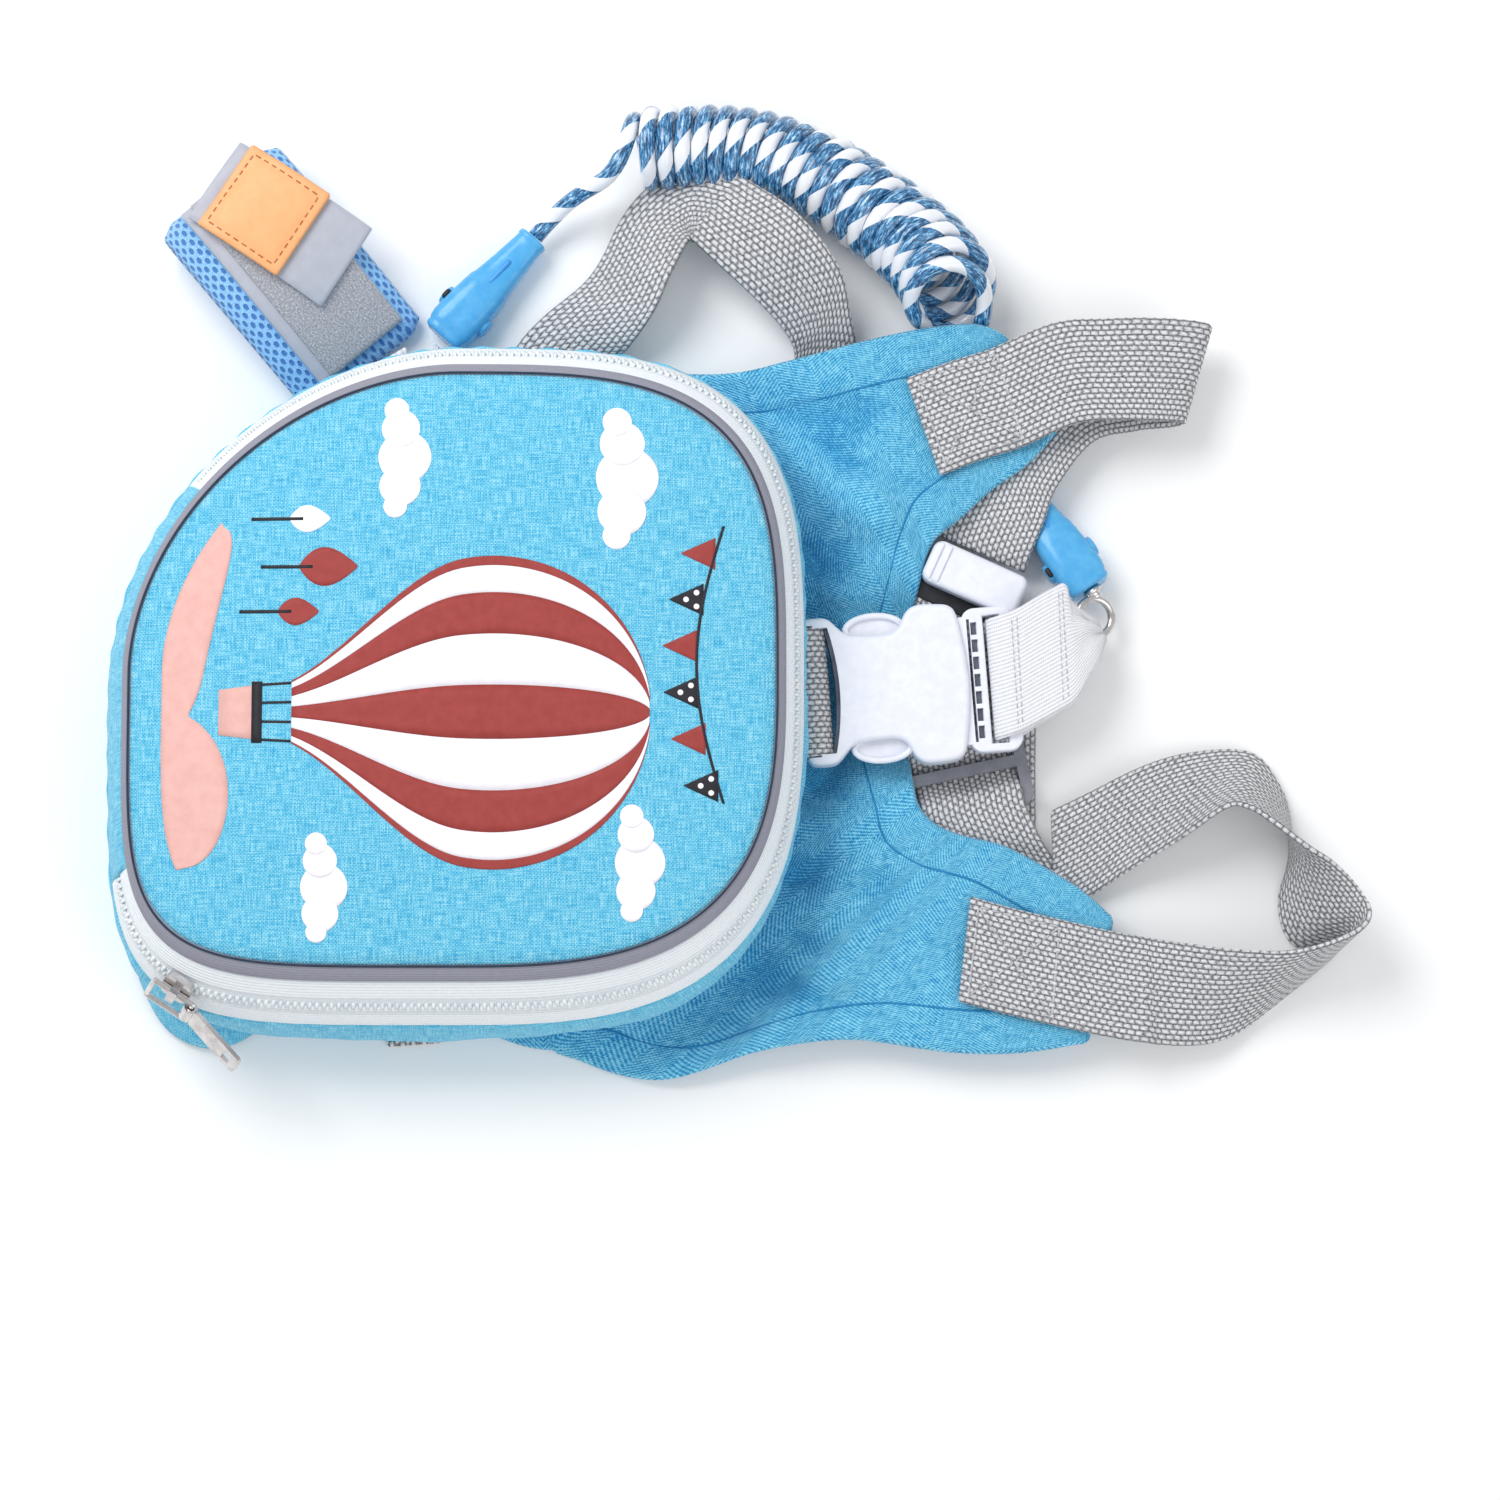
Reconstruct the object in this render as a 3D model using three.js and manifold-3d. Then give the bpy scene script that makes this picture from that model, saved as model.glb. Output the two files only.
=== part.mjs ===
// A toddler harness backpack lying on its back: a round-cornered zipped pouch on a cloth yoke with two
// shoulder wings, webbing straps, a side-release buckle for the leash anchor, a coiled leash with a
// connector at each end, and a padded wrist cuff.
// Millimetres, +Z up. The origin is the middle of the pouch's back, on the surface it lies on.
// +X points to the top of the pouch, where the wings leave it.
import * as THREE from "three";
import { mergeVertices } from "three/addons/utils/BufferGeometryUtils.js";
import Module from "manifold-3d";

const wasm = await Module();
wasm.setup();

// Driving dimensions
const gap = 0.3; // clearance between pieces that touch
const pouchLength = 202; // along X, at the pouch's widest level
const pouchWidth = 200; // along Y, at the pouch's widest level
const pouchDepth = 56; // from the surface to the crown of the front panel
const frontCrown = 5; // how far the padded front panel domes above its edge
const frontThickness = 2.4;
const panelThickness = 2.4; // back panel and yoke
const wallThickness = 1.6; // cloth of the side wall
const pipingWidth = 4;
const pipingThickness = 2.4;
const tapeWidth = 5.6; // zip tape beside the chain
const tapeThickness = 1.2;
const chainWidth = 4.6;
const chainThickness = 2.2;
const seamX = 25; // where the yoke takes over from the back panel
const wingLiftUpper = 13; // rise of the upper wing off the surface
const wingLiftLower = 11;
const webWidth = 30; // grey shoulder webbing
const webThickness = 1.6;
const leashWebWidth = 37; // white webbing and the haul webbing
const buckleLength = 49; // female half, from bar to mouth
const buckleMargin = 5; // plastic beyond the webbing, on each side
const buckleWidth = leashWebWidth + 2 * buckleMargin;
const buckleThickness = 10;
const buckleWall = 2;
const buckleHeight = 17; // centre of the buckle above the surface
const buckleStart = 103; // X of the female half's outer bar
const barWidth = 4; // bars that webbing wraps
const barHalf = 2.6; // half their height
const slotWidth = 5.4; // slots beside the bars
const maleFrameLength = 15; // part of the male half outside the mouth
const frameThickness = 5.4;
const ladderWidth = 2.4; // the ladder bar, and the slot between it and the mouth
const plugLength = 6; // solid part of the male half inside the mouth
const plugOverlap = 2; // how far the plug runs into the frame
const armWidth = 4.5;
const bodyBevel = 1.6;
const glideLength = 38;
const glideWidth = 26;
const glideThickness = 2.4;
const glideBar = 3.4; // width of its rails and middle bar
const chestBuckleLength = 27;
const chestBuckleWidth = 11;
const chestBuckleHeight = 11;
const chestHollowShare = 0.66; // of its length
const chestHollowBack = 4; // how far the hollow stops short of the far wall
const connectorLength = 41;
const connectorWidth = 15;
const connectorTip = 8.4; // diameter at the cord end
const connectorFlat = 0.78; // height of the connector's section as a share of its width
const bossRadius = 2.2; // round bosses on the connector's sides
const bossLength = 3;
const bossPlace = 0.26; // share of the connector's length
const cordDiameter = 5;
const coilDiameter = 26; // over the turns
const swivelRing = 6; // radius of the ring's centre line
const swivelWire = 1.3; // radius
const swivelStem = 2.6;
const stemLength = 3.2;
const cuffLength = 70; // of the flattened loop
const cuffWidth = 48;
const cuffHeight = 22; // at the fold
const cuffWall = 4.4;
const cuffStripWidth = 27;
const cuffStripThickness = 1.6;
const hookTabWidth = 25;
const hookTabLength = 50;
const hookTabThickness = 1.2;
const patchSize = 26;
const patchThickness = 1.4;
const cuffWebWidth = 16;
const sliderLength = 9;
const sliderWidth = 8;
const sliderHeight = 2.4;
const crownLength = 2.6; // bridge on the slider that holds the link
const crownWall = 1.2;
const pullWire = 0.8; // radius of the link's wire
const linkLength = 13;
const linkDepth = 7.5;
const tabLength = 20;
const tabWidth = 6;
const tabThickness = 1.4;
const eyeWall = 1; // metal round the hole of the pull's eye
const tabRound = 1.4; // radius of its corners
const tabTilt = 18; // degrees that the pull stands away from the wall
const tabHoleFrom = 0.22; // the slot in the pull, from its middle towards its end
const tabHoleTo = 0.36;
const tabHoleWidth = 3.6;

// Colours
const cloth = { color: 0x6cc8e4, roughness: 0.9, metalness: 0 };
const clothShade = { color: 0x4fb2dc, roughness: 0.9, metalness: 0 };
const greyTrim = { color: 0x8a8a98, roughness: 0.6, metalness: 0 };
const zipWhite = { color: 0xe6eef2, roughness: 0.8, metalness: 0 };
const greyWeb = { color: 0xa9a9ae, roughness: 0.85, metalness: 0 };
const whiteWeb = { color: 0xe6e6ec, roughness: 0.8, metalness: 0 };
const whitePlastic = { color: 0xeef0fb, roughness: 0.35, metalness: 0 };
const greyPlastic = { color: 0x6d6e78, roughness: 0.4, metalness: 0 };
const bluePlastic = { color: 0x5cb8ee, roughness: 0.2, metalness: 0 };
const cordBlue = { color: 0x4f9ac8, roughness: 0.25, metalness: 0 };
const meshBlue = { color: 0x6fb0ea, roughness: 0.95, metalness: 0 };
const hookGrey = { color: 0xb7b9c6, roughness: 0.7, metalness: 0 };
const orangeLeather = { color: 0xfdb87e, roughness: 0.55, metalness: 0 };
const nickel = { color: 0xcbbdb6, roughness: 0.25, metalness: 1 };

const halfX = pouchLength / 2;
const halfY = pouchWidth / 2;
const webLayer = webThickness + gap;
const degrees = Math.PI / 180;
const up = new THREE.Vector3(0, 0, 1);
const part = new THREE.Group();

function smooth(t) {
  const c = Math.min(1, Math.max(0, t));
  return c * c * (3 - 2 * c);
}

function place(name, geometry, finish, matrix) {
  const mesh = new THREE.Mesh(geometry, new THREE.MeshStandardMaterial(finish));
  mesh.name = name;
  if (matrix) mesh.applyMatrix4(matrix);
  part.add(mesh);
  return mesh;
}

// Joins and cuts
function solid(geometry) {
  const bare = geometry.clone();
  bare.deleteAttribute("normal");
  bare.deleteAttribute("uv");
  const merged = mergeVertices(bare, 1e-4);
  return new wasm.Manifold(
    new wasm.Mesh({
      numProp: 3,
      vertProperties: merged.attributes.position.array,
      triVerts: new Uint32Array(merged.index.array),
    }),
  );
}

function geometryOf(manifold) {
  const mesh = manifold.getMesh();
  const made = new THREE.BufferGeometry();
  made.setAttribute("position", new THREE.BufferAttribute(mesh.vertProperties, 3));
  made.setIndex(new THREE.BufferAttribute(mesh.triVerts, 1));
  made.computeVertexNormals();
  return made;
}

function boxAt(sizeX, sizeY, sizeZ, x, y, z) {
  return new THREE.BoxGeometry(sizeX, sizeY, sizeZ).translate(x, y, z);
}

// A closed shell on a grid of points: both faces are offset along the surface normal, and the free
// edges are walled. Points that coincide are one point, so a grid may close on itself.
function sheet(grid, thickness, normalAt) {
  const points = [];
  const keys = new Map();
  const index = grid.map((row, i) =>
    row.map((p, j) => {
      const key = [p.x, p.y, p.z].map((c) => Math.round(c * 500)).join(",");
      if (!keys.has(key)) {
        keys.set(key, points.length);
        points.push({ at: p, normal: normalAt ? normalAt(i, j) : new THREE.Vector3() });
      }
      return keys.get(key);
    }),
  );
  const triangles = [];
  for (let i = 0; i + 1 < grid.length; i++)
    for (let j = 0; j + 1 < grid[i].length; j++) {
      const [a, b, c, d] = [index[i][j], index[i + 1][j], index[i + 1][j + 1], index[i][j + 1]];
      if (a !== b && b !== c && c !== a) triangles.push([a, b, c]);
      if (a !== c && c !== d && d !== a) triangles.push([a, c, d]);
    }
  if (!normalAt)
    for (const [a, b, c] of triangles) {
      const face = new THREE.Vector3()
        .subVectors(points[b].at, points[a].at)
        .cross(new THREE.Vector3().subVectors(points[c].at, points[a].at));
      for (const k of [a, b, c]) points[k].normal.add(face);
    }
  const count = points.length;
  const position = [];
  for (const side of [0.5, -0.5])
    for (const { at, normal } of points) {
      const shift = normal.clone().normalize().multiplyScalar(side * thickness);
      position.push(at.x + shift.x, at.y + shift.y, at.z + shift.z);
    }
  const faces = [];
  const edges = new Map();
  for (const [a, b, c] of triangles) {
    faces.push(a, b, c, count + a, count + c, count + b);
    for (const [p, q] of [[a, b], [b, c], [c, a]]) edges.set(p + "," + q, [p, q]);
  }
  for (const [p, q] of edges.values())
    if (!edges.has(q + "," + p)) faces.push(p, count + p, q, q, count + p, count + q);
  const made = new THREE.BufferGeometry();
  made.setAttribute("position", new THREE.Float32BufferAttribute(position, 3));
  made.setIndex(faces);
  made.computeVertexNormals();
  return made;
}

// The pouch's outline at three levels: its front edge, its waist and its foot. right, left, top and
// bottom are shares of half the pouch's length or width, height is a share of its depth, and bow is
// the exponent of each corner's curve.
const footHeight = (panelThickness + wallThickness / 2 + 2 * gap) / pouchDepth;
const levels = [
  { height: 0.9, right: 0.915, left: 0.913, top: 0.866, bottom: 0.836 },
  { height: 0.52, right: 0.998, left: 1.002, top: 0.982, bottom: 1.016 },
  { height: footHeight, right: 0.91, left: 0.96, top: 0.9, bottom: 0.97 },
];
const bow = { upperRight: 3.4, lowerRight: 3, lowerLeft: 5, upperLeft: 1.85 };

function outline(level, angle, inset = 0) {
  const c = Math.cos(angle);
  const s = Math.sin(angle);
  const a = (c > 0 ? level.right : level.left) * halfX - inset;
  const b = (s > 0 ? level.top : level.bottom) * halfY - inset;
  const side = s > 0 ? "upper" : "lower";
  const n = bow[side + (c > 0 ? "Right" : "Left")];
  const r = (Math.abs(c / a) ** n + Math.abs(s / b) ** n) ** (-1 / n);
  return new THREE.Vector3(r * c, r * s, level.height * pouchDepth);
}

// The wall runs from the front edge (share 0) through the waist (one half) to the foot (share 1).
function wall(angle, share) {
  const weights = [2 * (share - 0.5) * (share - 1), 4 * share * (1 - share), 2 * share * (share - 0.5)];
  const at = new THREE.Vector3();
  levels.forEach((level, k) => at.addScaledVector(outline(level, angle), weights[k]));
  return at;
}

function wallNormal(angle, share) {
  const step = 1e-3;
  const along = wall(angle + step, share).sub(wall(angle - step, share));
  const down = wall(angle, share + step).sub(wall(angle, share - step));
  return down.cross(along).normalize();
}

const wallSteps = 24;
let wallRun = 0;
for (let k = 0; k < wallSteps; k++)
  wallRun += wall(0, k / wallSteps).distanceTo(wall(0, (k + 1) / wallSteps));

// Angles round the pouch, where the zip starts and ends and where its slider stands
const zipFrom = -149;
const zipTo = 144;
const sliderAngle = -131.5;
const turnSteps = 60;

function band(fromAngle, toAngle, from, to, rows, thickness) {
  const count = Math.round((turnSteps * (toAngle - fromAngle)) / 360);
  const angles = [];
  for (let k = 0; k <= count; k++) angles.push((fromAngle + ((toAngle - fromAngle) * k) / count) * degrees);
  const shares = [];
  for (let k = 0; k <= rows; k++) shares.push((from + ((to - from) * k) / rows) / wallRun);
  const grid = shares.map((share) => angles.map((angle) => wall(angle, share)));
  return sheet(grid, thickness, (i, j) => wallNormal(angles[j], shares[i]));
}

// Pouch
const frontTapeStart = pipingWidth + gap;
const chainStart = frontTapeStart + tapeWidth + gap;
const backTapeStart = chainStart + chainWidth + gap;
const gussetStart = backTapeStart + tapeWidth + gap;
const sideGap = gap / halfX / degrees; // an angle that is one clearance wide at the wall

place("pouch_piping", band(0, 360, 0, pipingWidth, 1, pipingThickness), greyTrim);
place(
  "zip_tape_front",
  band(zipFrom, zipTo, frontTapeStart, frontTapeStart + tapeWidth, 1, tapeThickness),
  zipWhite,
);
place("zip_chain", band(zipFrom, zipTo, chainStart, chainStart + chainWidth, 1, chainThickness), zipWhite);
place(
  "zip_tape_back",
  band(zipFrom, zipTo, backTapeStart, backTapeStart + tapeWidth, 1, tapeThickness),
  zipWhite,
);
place(
  "pouch_side_wall",
  band(zipTo + sideGap, zipFrom + 360 - sideGap, frontTapeStart, gussetStart - gap, 2, wallThickness),
  cloth,
);
place("pouch_gusset", band(0, 360, gussetStart, wallRun, 4, wallThickness), clothShade);

const frontInset = pipingThickness / 2 + 2 * gap;
const frontRings = 6;
const frontGrid = [];
for (let i = 0; i <= frontRings; i++) {
  const share = i / frontRings;
  const ring = [];
  for (let j = 0; j <= turnSteps; j++) {
    const edge = outline(levels[0], (j * 2 * Math.PI) / turnSteps, frontInset);
    const dome = frontCrown * (1 - share ** 2.6);
    ring.push(new THREE.Vector3(edge.x * share, edge.y * share, edge.z + dome));
  }
  frontGrid.push(ring);
}
place("pouch_front", sheet(frontGrid, frontThickness), cloth);

// Back panel: the foot's outline, cut off straight where the yoke takes over
const backPoints = [];
for (let j = 0; j < turnSteps; j++) {
  const p = outline(levels[2], (j * 2 * Math.PI) / turnSteps);
  if (p.x < seamX) backPoints.push(new THREE.Vector2(p.x, p.y));
}
const seamReach = Math.sqrt(1 - (seamX / (levels[2].right * halfX)) ** 2);
backPoints.unshift(new THREE.Vector2(seamX, levels[2].top * halfY * seamReach ** 0.2));
backPoints.push(new THREE.Vector2(seamX, -levels[2].bottom * halfY * seamReach ** 0.2));
place(
  "back_panel",
  new THREE.ExtrudeGeometry(new THREE.Shape(backPoints), { depth: panelThickness, bevelEnabled: false }),
  cloth,
);

// Cloth folded out at the lower left corner, beside the back panel
const cornerOuter = [
  { x: -0.985, y: -0.7 },
  { x: -0.93, y: -0.86 },
  { x: -0.86, y: -0.99 },
  { x: -0.77, y: -1.05 },
  { x: -0.68, y: -1.045 },
  { x: -0.6, y: -1.0 },
];
const cornerShape = cornerOuter.map((row) => new THREE.Vector2(row.x * halfX, row.y * halfY));
for (let k = 0; k <= 6; k++) {
  const p = outline(levels[2], (-121 - 4.2 * k) * degrees, -gap);
  cornerShape.push(new THREE.Vector2(p.x, p.y));
}
place(
  "corner_tab",
  new THREE.ExtrudeGeometry(new THREE.Shape(cornerShape), { depth: panelThickness, bevelEnabled: false }),
  cloth,
);

// Yoke: one sheet from the upper wing's end, round the neck, to the lower wing's end.
// Columns are shares of half the pouch's length and width, at the neck side and at the outer side.
const seamShare = (seamX + gap) / halfX;
const yokeRows = [
  { neckX: 1.744, neckY: 0.774, outX: 1.6, outY: 1.053 },
  { neckX: 1.66, neckY: 0.68, outX: 1.54, outY: 1.08 },
  { neckX: 1.555, neckY: 0.603, outX: 1.465, outY: 1.085 },
  { neckX: 1.465, neckY: 0.52, outX: 1.3, outY: 1.06 },
  { neckX: 1.378, neckY: 0.443, outX: 1.14, outY: 1.022 },
  { neckX: 1.31, neckY: 0.32, outX: 0.96, outY: 0.975 },
  { neckX: 1.272, neckY: 0.16, outX: 0.785, outY: 0.951 },
  { neckX: 1.26, neckY: 0.08, outX: 0.515, outY: 0.97 },
  { neckX: 1.257, neckY: 0.01, outX: 0.275, outY: 1.005 },
  { neckX: 1.259, neckY: -0.06, outX: seamShare, outY: 0.5 },
  { neckX: 1.263, neckY: -0.12, outX: seamShare, outY: -0.02 },
  { neckX: 1.269, neckY: -0.2, outX: seamShare, outY: -0.55 },
  { neckX: 1.282, neckY: -0.28, outX: seamShare, outY: -1.06 },
  { neckX: 1.302, neckY: -0.353, outX: 0.405, outY: -1.066 },
  { neckX: 1.366, neckY: -0.41, outX: 0.67, outY: -1.149 },
  { neckX: 1.465, neckY: -0.445, outX: 0.875, outY: -1.066 },
  { neckX: 1.58, neckY: -0.475, outX: 1.138, outY: -1.031 },
  { neckX: 1.703, neckY: -0.54, outX: 1.43, outY: -1.067 },
  { neckX: 1.812, neckY: -0.61, outX: 1.634, outY: -1.068 },
  { neckX: 1.897, neckY: -0.685, outX: 1.822, outY: -1.039 },
];
const yokeColumns = 8;

// Height of the yoke's middle surface: flat under the pouch and at the neck, lifted at both wings
function yokeHeight(x, y) {
  const angle = Math.atan2(y, x);
  const foot = outline(levels[2], angle);
  const beyond = smooth((Math.hypot(x, y) / Math.hypot(foot.x, foot.y) - 1.03) / 0.34);
  const lift = y > 0 ? wingLiftUpper : wingLiftLower;
  const sideways = smooth((Math.abs(y) / halfY - 0.05) / (y > 0 ? 0.5 : 0.35));
  const outward = smooth((x / halfX - 0.3) / 0.6);
  return panelThickness / 2 + lift * beyond * sideways * outward;
}

const yokeGrid = yokeRows.map((row) => {
  const line = [];
  for (let k = 0; k <= yokeColumns; k++) {
    const x = (row.neckX + ((row.outX - row.neckX) * k) / yokeColumns) * halfX;
    const y = (row.neckY + ((row.outY - row.neckY) * k) / yokeColumns) * halfY;
    line.push(new THREE.Vector3(x, y, yokeHeight(x, y)));
  }
  return line;
});
place("shoulder_yoke", sheet(yokeGrid, panelThickness), clothShade);

// Webbing. Each row of a strap's table is a section: its middle as shares of half the pouch's length
// (x), half its width (y) and its depth (z), the heading of its width in plan (turn, degrees), its lean
// (roll, degrees) and its width as a share of the webbing's (wide, 1 if not given). over marks rows
// that lie on the yoke.
function ribbon(rows, width, thickness, steps, columns = 2) {
  const last = rows.length - 1;
  const pick = (name, k, otherwise) => rows[Math.min(last, Math.max(0, k))][name] ?? otherwise;
  const blend = (name, k, t, otherwise = 0) => {
    const [a, b, c, d] = [-1, 0, 1, 2].map((step) => pick(name, k + step, otherwise));
    const square = (2 * a - 5 * b + 4 * c - d) * t ** 2;
    const cube = (3 * b - a - 3 * c + d) * t ** 3;
    return 0.5 * (2 * b + (c - a) * t + square + cube);
  };
  const grid = [];
  for (let k = 0; k < last; k++)
    for (let step = k ? 1 : 0; step <= steps; step++) {
      const t = step / steps;
      const turn = blend("turn", k, t) * degrees;
      const roll = blend("roll", k, t) * degrees;
      const reach = (width / 2) * blend("wide", k, t, 1);
      const over = pick("over", k, 0) && pick("over", k + 1, 0);
      const middle = new THREE.Vector3(
        blend("x", k, t) * halfX,
        blend("y", k, t) * halfY,
        blend("z", k, t) * pouchDepth,
      );
      const across = new THREE.Vector3(
        Math.cos(turn) * Math.cos(roll),
        Math.sin(turn) * Math.cos(roll),
        Math.sin(roll),
      );
      const line = [];
      for (let j = 0; j <= columns; j++) {
        const p = middle.clone().addScaledVector(across, reach * ((2 * j) / columns - 1));
        const rest = yokeHeight(p.x, p.y) + panelThickness / 2 + 2 * gap + thickness / 2;
        if (over) p.z = Math.max(p.z, rest);
        line.push(p);
      }
      grid.push(line);
    }
  return sheet(grid, thickness);
}

const strapUpperRows = [
  { x: 1.358, y: 0.778, z: 0.2, turn: -71, over: 1 },
  { x: 1.48, y: 0.826, z: 0.2, turn: -74, over: 1 },
  { x: 1.602, y: 0.865, z: 0.32, turn: -73, over: 1 },
  { x: 1.773, y: 0.933, z: 0.38, turn: -78, over: 1 },
  { x: 1.917, y: 0.943, z: 0.385, turn: -80, over: 1 },
  { x: 2.036, y: 0.945, z: 0.37, turn: -90 },
  { x: 2.14, y: 0.943, z: 0.325, turn: -104 },
  { x: 2.163, y: 0.938, z: 0.275, turn: -106 },
  { x: 2.13, y: 0.935, z: 0.235, turn: -104 },
  { x: 2.0, y: 0.913, z: 0.21, turn: -95 },
  { x: 1.84, y: 0.851, z: 0.2, turn: -72 },
  { x: 1.66, y: 0.703, z: 0.195, turn: -52, roll: 3 },
  { x: 1.577, y: 0.568, z: 0.205, turn: -32, roll: 8 },
  { x: 1.53, y: 0.46, z: 0.17, turn: -25, roll: 6 },
  { x: 1.518, y: 0.42, z: 0.14, turn: -24 },
];
place("strap_upper", ribbon(strapUpperRows, webWidth, webThickness, 2), greyWeb);

const strapLowerRows = [
  { x: 1.473, y: -0.775, z: 0.12, turn: -97, over: 1 },
  { x: 1.6, y: -0.81, z: 0.12, turn: -96, over: 1 },
  { x: 1.761, y: -0.848, z: 0.22, turn: -95, over: 1 },
  { x: 1.927, y: -0.884, z: 0.25, turn: -92, over: 1 },
  { x: 2.106, y: -0.907, z: 0.25, turn: -88, roll: -16 },
  { x: 2.254, y: -0.905, z: 0.25, turn: -95, roll: -36 },
  { x: 2.403, y: -0.861, z: 0.26, turn: -112, roll: -57 },
  { x: 2.6, y: -0.72, z: 0.28, turn: -125, roll: -80 },
  { x: 2.56, y: -0.64, z: 0.28, turn: -135, roll: -60 },
  { x: 2.48, y: -0.57, z: 0.28, turn: -140, roll: -66 },
  { x: 2.456, y: -0.49, z: 0.28, turn: -150, roll: -84 },
  { x: 2.392, y: -0.385, z: 0.28, turn: -148, roll: -108 },
  { x: 2.339, y: -0.315, z: 0.275, turn: -138, roll: -120 },
  { x: 2.27, y: -0.275, z: 0.26, turn: -120, roll: -133 },
  { x: 2.125, y: -0.317, z: 0.2, turn: -103, roll: -155 },
  { x: 1.98, y: -0.38, z: 0.145, turn: -96, roll: -174 },
  { x: 1.848, y: -0.455, z: 0.095, turn: -90, roll: -181 },
  { x: 1.74, y: -0.51, z: 0.08, turn: -88, roll: -180 },
];
place("strap_lower", ribbon(strapLowerRows, webWidth, webThickness, 2), greyWeb);

const sideLoopRows = [
  { x: 0.27, y: 0.985, z: 0.068, turn: 0 },
  { x: 0.3, y: 1.03, z: 0.085, turn: -8, roll: 6 },
  { x: 0.36, y: 1.09, z: 0.13, turn: -20, roll: 20 },
  { x: 0.455, y: 1.185, z: 0.19, turn: -26, roll: 36 },
  { x: 0.515, y: 1.29, z: 0.23, turn: -22, roll: 42 },
  { x: 0.565, y: 1.43, z: 0.195, turn: -35, roll: 30, wide: 0.95 },
  { x: 0.65, y: 1.42, z: 0.225, turn: -84, roll: 30, wide: 0.58 },
  { x: 0.695, y: 1.415, z: 0.32, turn: -122, roll: 4, wide: 0.54 },
  { x: 0.748, y: 1.438, z: 0.405, turn: -139, roll: -14, wide: 0.87 },
  { x: 0.92, y: 1.29, z: 0.36, turn: -128, roll: -24, wide: 0.9 },
  { x: 1.04, y: 1.155, z: 0.25, turn: -130, roll: -22 },
  { x: 1.085, y: 1.04, z: 0.11, turn: -148, roll: -8 },
  { x: 1.09, y: 0.96, z: 0.04, turn: -160, roll: 0 },
];
place("strap_side_loop", ribbon(sideLoopRows, webWidth, webThickness, 2), greyWeb);

// Webbing end that shows under the pouch's lower side
const strapStubRows = [
  { x: -0.14, y: -0.975, z: 0.02, turn: 0 },
  { x: -0.14, y: -1.045, z: 0.02, turn: 4 },
];
place("strap_stub", ribbon(strapStubRows, webWidth / 2, webThickness, 1), greyWeb);

// Chest strap through the adjuster
const glideAt = { x: 1.475, y: -0.24, turn: 12 };
const glideLow = 2 * webLayer + gap; // the adjuster lies on the tail and the strap's middle layer
const glideTop = glideLow + glideThickness;
const overGlide = (glideTop + gap + webThickness / 2) / pouchDepth;
const underGlide = (webLayer + gap + webThickness / 2) / pouchDepth;
const glideMatrix = new THREE.Matrix4()
  .makeRotationZ(glideAt.turn * degrees)
  .setPosition(glideAt.x * halfX, glideAt.y * halfY, glideLow);

// A row of the strap at a distance across the adjuster, positive towards the chest buckle
function glideRow(offset, z) {
  const p = new THREE.Vector3(0, offset, 0).applyMatrix4(glideMatrix);
  return { x: p.x / halfX, y: p.y / halfY, z, turn: glideAt.turn };
}

const glideSlot = (glideWidth - 3 * glideBar) / 2;
const chestStrapRows = [
  { x: 1.63, y: -0.6, z: 0.024, turn: 16 },
  { x: 1.585, y: -0.53, z: 0.05, turn: 14 },
  { x: 1.54, y: -0.455, z: overGlide * 0.9, turn: 12 },
  glideRow(-glideWidth / 2, overGlide),
  glideRow(-glideBar / 2 - glideSlot + webThickness, overGlide),
  glideRow(-glideBar / 2 - webThickness, underGlide),
  glideRow(glideBar / 2 + webThickness, underGlide),
  glideRow(glideBar / 2 + glideSlot - webThickness, overGlide),
  glideRow(glideWidth / 2, overGlide),
  { x: 1.475, y: 0.02, z: 0.13, turn: 2 },
  { x: 1.475, y: 0.16, z: 0.12, turn: -14 },
  { x: 1.481, y: 0.279, z: 0.11, turn: -24 },
];
place("chest_strap", ribbon(chestStrapRows, webWidth, webThickness, 1), greyWeb);

const tailRows = [
  { x: 1.54, y: 0.03, z: 0.03, turn: -4 },
  { x: 1.535, y: -0.2, z: 0.019, turn: 0 },
  { x: 1.535, y: -0.42, z: 0.019, turn: 5 },
];
place("chest_strap_tail", ribbon(tailRows, webWidth, webThickness, 1), greyWeb);

function roundedRect(width, height, radius) {
  const [w, h] = [width / 2, height / 2];
  const shape = new THREE.Shape();
  shape.moveTo(w, -h + radius);
  shape.lineTo(w, h - radius);
  shape.absarc(w - radius, h - radius, radius, 0, Math.PI / 2);
  shape.lineTo(-w + radius, h);
  shape.absarc(-w + radius, h - radius, radius, Math.PI / 2, Math.PI);
  shape.lineTo(-w, -h + radius);
  shape.absarc(-w + radius, -h + radius, radius, Math.PI, 1.5 * Math.PI);
  shape.lineTo(w - radius, -h);
  shape.absarc(w - radius, -h + radius, radius, 1.5 * Math.PI, 2 * Math.PI);
  return shape;
}

function rectHole(x0, x1, y0, y1) {
  const path = new THREE.Path();
  path.moveTo(x0, y0);
  path.lineTo(x0, y1);
  path.lineTo(x1, y1);
  path.lineTo(x1, y0);
  path.closePath();
  return path;
}

const glideShape = roundedRect(glideLength, glideWidth, 3);
const glideHole = glideLength / 2 - glideBar;
for (const side of [-1, 1]) {
  const near = (side * glideBar) / 2;
  const far = side * (glideBar / 2 + glideSlot);
  glideShape.holes.push(rectHole(-glideHole, glideHole, Math.min(near, far), Math.max(near, far)));
}
place(
  "tri_glide",
  new THREE.ExtrudeGeometry(glideShape, { depth: glideThickness, bevelEnabled: false, curveSegments: 4 }),
  greyPlastic,
  glideMatrix,
);

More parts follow.
